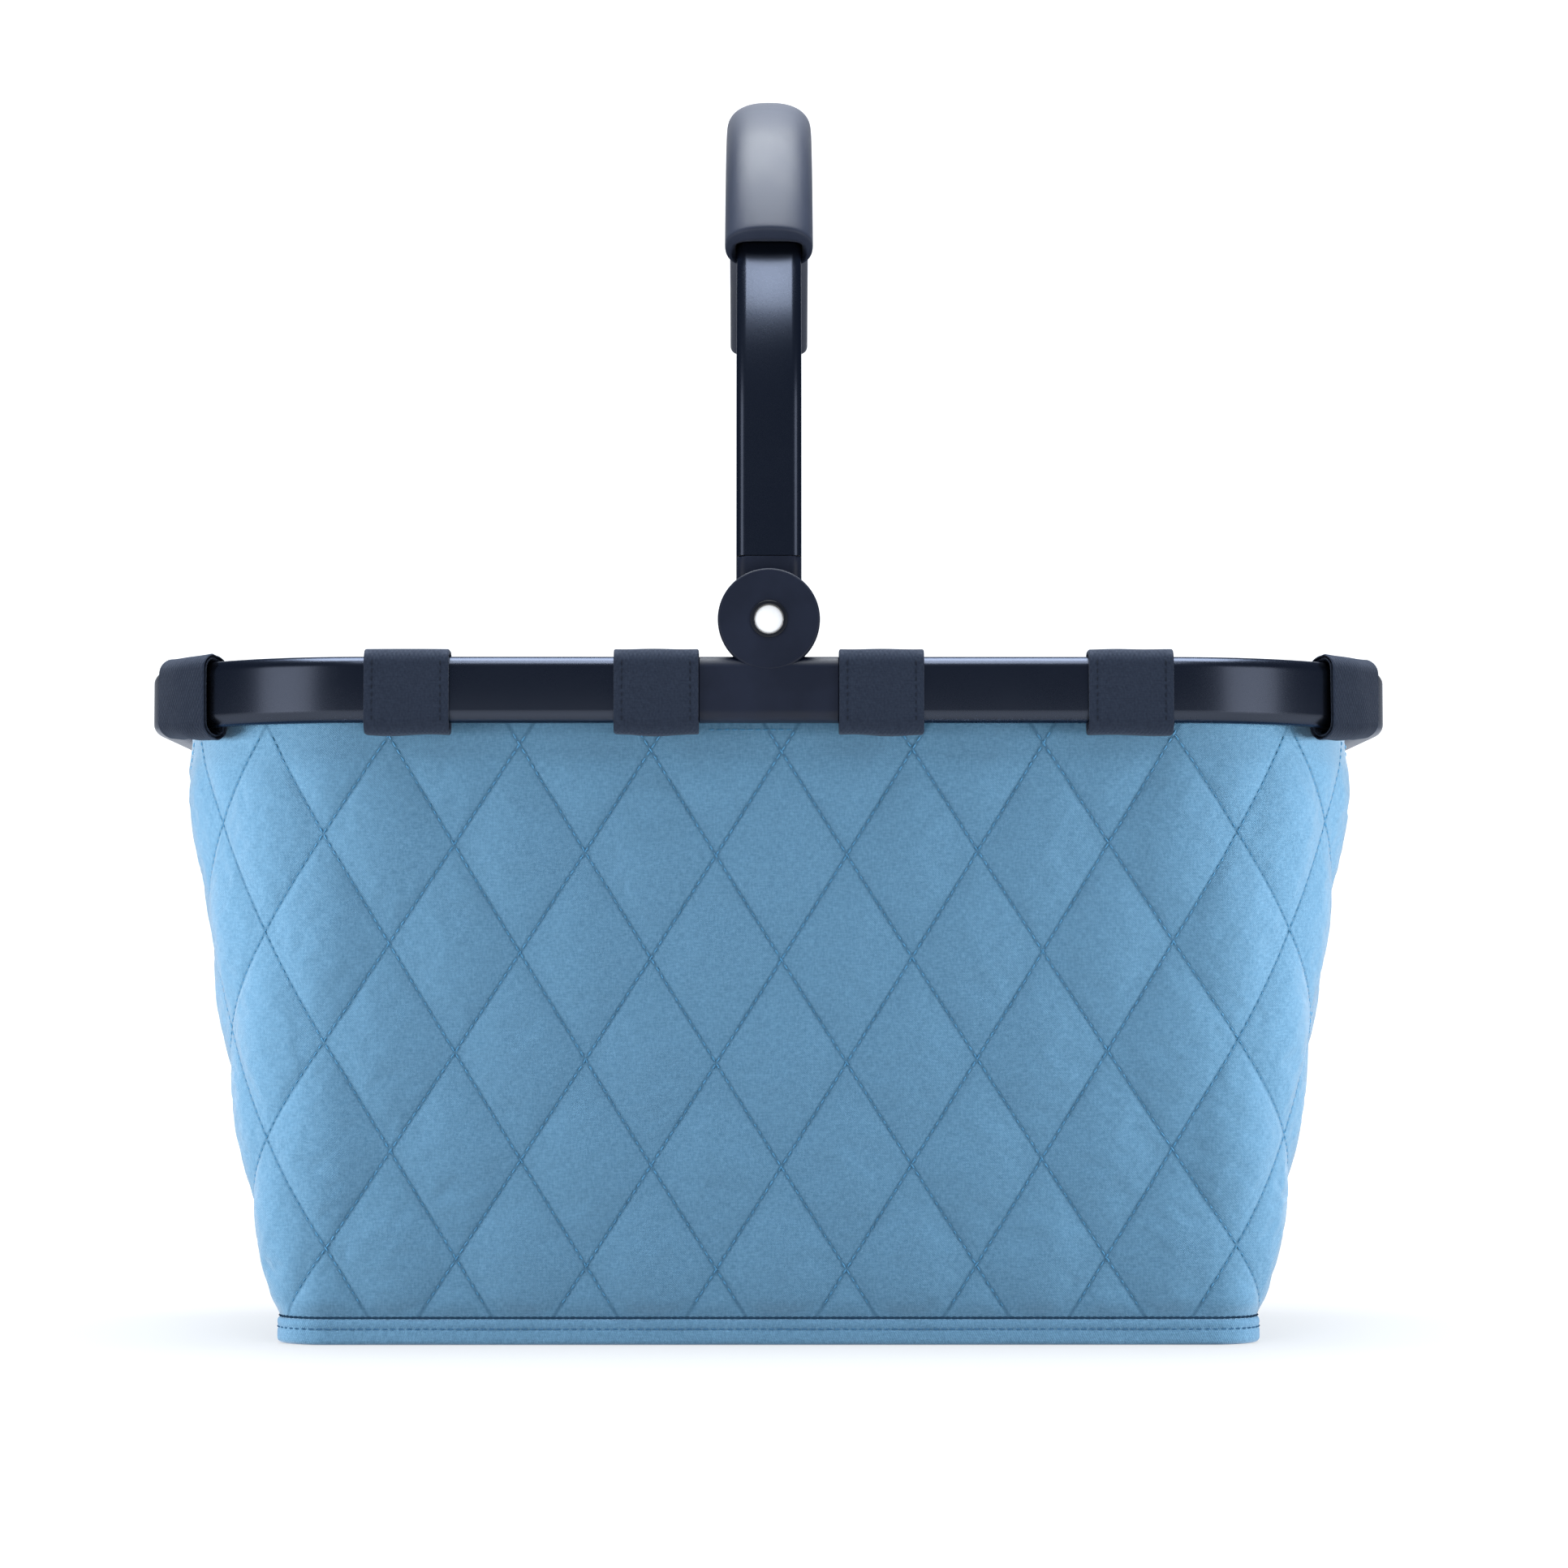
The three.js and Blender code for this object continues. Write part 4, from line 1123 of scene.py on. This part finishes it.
COVER_RINGS = 26
COVER_TOP_RINGS = 6
COVER_MIDDLE = 4.0
cover_outline = (cover_high[0], cover_high[1], 15.1)
cover_deepest = cover_outline[1] - COVER_MIDDLE
cover_depth = np.concatenate([
    np.linspace(cover_deepest, 0.8, COVER_RINGS),
    [0.3, 0.0, 0.0, 0.3],
    np.linspace(0.9, cover_deepest, COVER_TOP_RINGS),
])
cover_z = np.concatenate([
    np.full(COVER_RINGS, cover_low[2]),
    [0.15, 0.8, cover_high[2] - 0.6, cover_high[2] - 0.1],
    np.full(COVER_TOP_RINGS, cover_high[2]),
])
cover_levels = [size - cover_depth[:, None] for size in cover_outline]
cover_share = np.linspace(-1, 1, 240, endpoint=False)[None, :]
cover_skin = outline_rings(cover_z[:, None], *cover_levels, cover_share)[0]
cover_uv = np.concatenate([cover_skin[..., :2], cover_skin[:, :1, :2]], axis=1)
base_cover = skin("base_cover", cover_skin, "binding", BODY, caps=True, uv={"cloth": cover_uv}, sharp=60.0)
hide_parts("base_panel")

# ---------------------------------------------------------------- tabs

TAB_LOOP_STEPS = 120
TAB_ACROSS = 13
loop_middle = rounded_section(
    TUBE_THICK + 2 * TAB_CLEAR + TAB_THICK,
    TUBE_HEIGHT + TAB_OVER_TOP + TAB_UNDER - TAB_THICK,
    TAB_EDGE - TAB_THICK / 2,
    SECTION_STEPS,
    (TUBE_THICK / 2, TUBE_MIDDLE + (TAB_OVER_TOP - TAB_UNDER) / 2),
)
loop_points, loop_out, loop_along, loop_length = even_ring(loop_middle, TAB_LOOP_STEPS)


def tape_ring(width, thick, edge, notch=0.0):
    """Section of a tape as [across, thickness]: two flat faces with half-round edges; a notch splits each
    edge into two layers."""
    half = width / 2 - edge
    flat = np.linspace(-half, half, TAB_ACROSS)
    upper = np.stack([flat, np.full(TAB_ACROSS, thick / 2)], axis=1)[::-1]
    lower = np.stack([flat, np.full(TAB_ACROSS, -thick / 2)], axis=1)
    upper_turn = quarter_arc((0, thick / 2 - edge), edge, 90, 20, 5) * [-1, 1] - [half, 0]
    lower_turn = quarter_arc((0, -thick / 2 + edge), edge, -20, -90, 5) * [-1, 1] - [half, 0]
    left = [upper_turn]
    if notch:
        left.append(np.array([[-half + notch, 0.12], [-half + notch, -0.12]]))
    left.append(lower_turn)
    left_side = np.vstack(left)
    right_side = left_side[::-1] * [-1, 1]
    return np.vstack([upper, left_side, lower[1:-1], right_side])


def tab_loop(name, centre, width, node, seed, place, notch=0.0, flare=0.0, slant=0.0):
    """A tape loop round the tube: its section follows the loop in the rim's cross-section, while its width
    runs along the rim. The front bows out a little, the foot is slack, and a corner tab's mouths flare and
    slant: inside the rim the tape lies further round the bend, where its foot is drawn up to the tube."""
    tape = tape_ring(width, TAB_THICK, 0.72, notch)
    across, thick = tape[None, :, 0], tape[None, :, 1]
    phase = np.random.default_rng(seed).uniform(0, 2 * np.pi, 3)
    share = across / (width / 2)
    height = (loop_points[:, 1:2] - TUBE_MIDDLE) / TUBE_HEIGHT
    bow = 0.35 * (1 - share ** 2) * np.exp(-((height + 0.05) / 0.5) ** 2)
    slack = 0.30 * np.sin(across / 5.1 + phase[0]) * np.exp(-((height + 0.62) / 0.12) ** 2)
    ripple = 0.10 * np.sin(across / 3.3 + phase[1]) * np.sin(loop_along[:, None] / 6.1 + phase[2])
    lift = bow + slack + ripple + flare * np.abs(share) ** 3
    lift = np.where(loop_out[:, :1] < FACES_BAG, lift, 0.0)
    inset = loop_points[:, :1] + loop_out[:, :1] * (thick + lift)
    z = loop_points[:, 1:2] + loop_out[:, 1:2] * (thick + lift)
    slide = math.copysign(slant, centre) * smooth_step(inset, 0.0, TUBE_THICK)
    far = (1 + math.copysign(1.0, centre) * share) / 2
    z = z + TAB_DRAWN_UP * (slant > 0) * far * smooth_step(-height, 0.0, 0.5)
    points = rim_points(centre + across + slide, inset, z)
    tape_closed = np.vstack([tape, tape[:1]])
    along_closed = np.append(loop_along, loop_length)
    uv = together(tape_closed[None, :, 0], along_closed[:, None])
    piece = skin(name, place(points), "webbing", BODY, wrap=(True, True), uv={"cloth": uv}, sharp=50.0)
    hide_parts(node)


TAB_STITCH_IN = 2.6
FACES_BAG = 0.9  # a loop face that looks inwards more than this lies flat
TAB_DRAWN_UP = 1.9
TAB_OVERLAP = 1.0  # the middle tabs close over the joints between tube and moulding
CORNER_ARC = RIM[2] * math.radians(CORNER_TAB_END - CORNER_TAB_START)
CORNER_CENTRE = (RIM[0] - RIM[2]) + RIM[2] * math.radians((CORNER_TAB_START + CORNER_TAB_END) / 2)
TAB_STITCH = (2.9, 2.1)
TAB_STITCH_OUT = TAB_CLEAR + TAB_THICK + 0.1
tab_z = np.linspace(TUBE_MIDDLE - 13.5, TUBE_MIDDLE + 11.0, 60)
for end_name, place in ENDS.items():
    rows = []
    for number, centre in TAB_CENTRES.items():
        node = f"tab_{end_name}_{number}"
        tab_loop(f"tab_loop_{end_name}_{number}", centre, TAB_WIDTH + TAB_OVERLAP, node, number, place)
        for side in (-1.0, 1.0):
            stitch_s = np.full_like(tab_z, centre + side * (TAB_WIDTH / 2 - TAB_STITCH_IN))
            path = rim_points(stitch_s, -TAB_STITCH_OUT, tab_z)
            out = np.broadcast_to([0.0, -1.0, 0.0], path.shape)
            rows.append(tuple(place(part) for part in stitch_row(path, out, *TAB_STITCH)))
    for number, side in ((1, -1.0), (2, 1.0)):
        centre = side * CORNER_CENTRE
        name = f"corner_tab_loop_{end_name}_{number}"
        node = f"corner_tab_{end_name}_{number}"
        tab_loop(name, centre, CORNER_ARC, node, 10 + number, place, notch=2.2, flare=0.45, slant=8.0)
    sew(f"tab_stitches_{end_name}", rows, "slate_thread", BODY, radius=0.28, rise=0.18, sink=0.12)

# ---------------------------------------------------------------- finish on the CAD piece that stays

board = frame["nodes"]["base_board"]
board.data.materials.clear()
board.data.materials.append(FINISHES["board"][0])

# ---------------------------------------------------------------- studio

FLOOR_HALF = 3.0
SWEEP_RADIUS = 1.2
WALL_HEIGHT = 3.2
FLOOR_DROP = 0.0002  # the floor lies this far under the base, so that the two don't share a plane
GLOW_HALF = 0.98
GLOW_EDGE = 0.15
FLOOR_GLOW = 0.68
WALL_GLOW = 0.15


def studio_white(name, glow):
    """Pale matt paint that glows a little all over, most on the backdrop behind the piece."""
    finish, tree, shader = new_finish(name, (0.22, 0.225, 0.23), 0.9)
    shader.inputs["Emission Color"].default_value = (0.97, 0.985, 1.0, 1.0)
    speck = ranged(tree, noise(tree, 3.0, 2.0), 0.3, 0.7, 0.0, 1.0)
    wire(tree, shader, mixed(tree, speck, (0.21, 0.215, 0.22, 1.0), (0.23, 0.235, 0.24, 1.0)))
    parts = add_node(tree, "SeparateXYZ", Vector=placed(tree, 1.0))
    aside = maths(tree, "ABSOLUTE", parts.outputs[0])
    across = ranged(tree, aside, GLOW_HALF, GLOW_HALF + GLOW_EDGE, 1.0, 0.0, smooth=True)
    behind = ranged(tree, parts.outputs[1], 0.10, 1.0, 0.0, glow, smooth=True)
    low = ranged(tree, parts.outputs[2], 0.1, 1.2, FLOOR_GLOW, WALL_GLOW, smooth=True)
    strength = maths(tree, "MAXIMUM", maths(tree, "MULTIPLY", across, behind), low)
    tree.links.new(strength, shader.inputs["Emission Strength"])
    return finish


def stage_sheet(name, points, finish):
    """A staged sheet over a grid of points in metres."""
    rows, columns = points.shape[:2]
    index = np.arange(rows * columns).reshape(rows, columns)
    mesh = bpy.data.meshes.new(name)
    faces = grid_corners(index[..., None]).reshape(-1, 4)
    mesh.from_pydata(points.reshape(-1, 3).tolist(), [], faces.tolist())
    mesh.shade_smooth()
    mesh.materials.append(finish)
    sheet = bpy.data.objects.new(name, mesh)
    bpy.context.scene.collection.objects.link(sheet)


# Floor and backdrop in one: level to the back, then a quarter bend, then upright.
bend = np.linspace(0, np.pi / 2, 13)
bend_y = FLOOR_HALF - SWEEP_RADIUS + SWEEP_RADIUS * np.sin(bend)
sweep_y = np.concatenate([[-FLOOR_HALF, 0.0], bend_y, [FLOOR_HALF]])
sweep_z = np.concatenate([[0.0, 0.0], SWEEP_RADIUS * (1 - np.cos(bend)), [WALL_HEIGHT]])
sweep_x = np.linspace(-FLOOR_HALF, FLOOR_HALF, 7)[None, :]
sweep = together(sweep_x, sweep_y[:, None], sweep_z[:, None] - FLOOR_DROP)
stage_sheet("studio_sweep", sweep, studio_white("studio_paint", 1.1))


def softbox(name, place, aim, width, height, radiance, color=(1.0, 1.0, 1.0)):
    """A rectangular area light that faces a point; its power follows from its radiance and area."""
    light = bpy.data.lights.new(name, "AREA")
    light.shape = "RECTANGLE"
    light.size = width
    light.size_y = height
    light.energy = radiance * width * height * math.pi
    light.color = color
    lamp = bpy.data.objects.new(name, light)
    place_vector = np.array(place)
    toward = np.array(aim) - place_vector
    toward = toward / np.linalg.norm(toward)
    lamp.location = place
    lamp.visible_camera = False
    pitch = math.acos(-toward[2])
    yaw = math.atan2(toward[1], toward[0]) - math.pi / 2
    lamp.rotation_euler = (pitch, 0, yaw)
    bpy.context.scene.collection.objects.link(lamp)
    return lamp


SOFT_DAYLIGHT = (0.93, 0.97, 1.0)
softbox("overhead", (0.0, 0.15, 2.0), (0.0, 0.02, 0.0), 1.6, 1.3, 12.0, SOFT_DAYLIGHT)
softbox("front_high", (0.0, -1.07, 2.045), (0.0, -0.12, 0.40), 0.60, 1.00, 8.5, SOFT_DAYLIGHT)
softbox("front_left", (-0.85, -0.80, 0.34), (-0.16, -0.05, 0.18), 0.50, 0.60, 2.1)
softbox("front_right", (0.85, -0.80, 0.34), (0.16, -0.05, 0.18), 0.50, 0.60, 2.1)

# The two low lamps light the cloth only, as if cards kept them off the metal.
raked = bpy.data.collections.new("raked_cloth")
for piece in fabric_pieces:
    raked.objects.link(piece)
for lamp_name, side in (("low_left", -1.0), ("low_right", 1.0)):
    lamp = softbox(lamp_name, (side * 0.70, -0.30, 0.16), (side * 0.10, -0.06, 0.13), 0.45, 0.19, 36.0)
    lamp.light_linking.receiver_collection = raked

world = bpy.data.worlds.new("studio_air")
world.use_nodes = True
world.node_tree.nodes["Background"].inputs["Color"].default_value = (0.60, 0.78, 1.15, 1.0)
world.node_tree.nodes["Background"].inputs["Strength"].default_value = 0.24
bpy.context.scene.world = world
bpy.context.scene.view_settings.view_transform = "Standard"
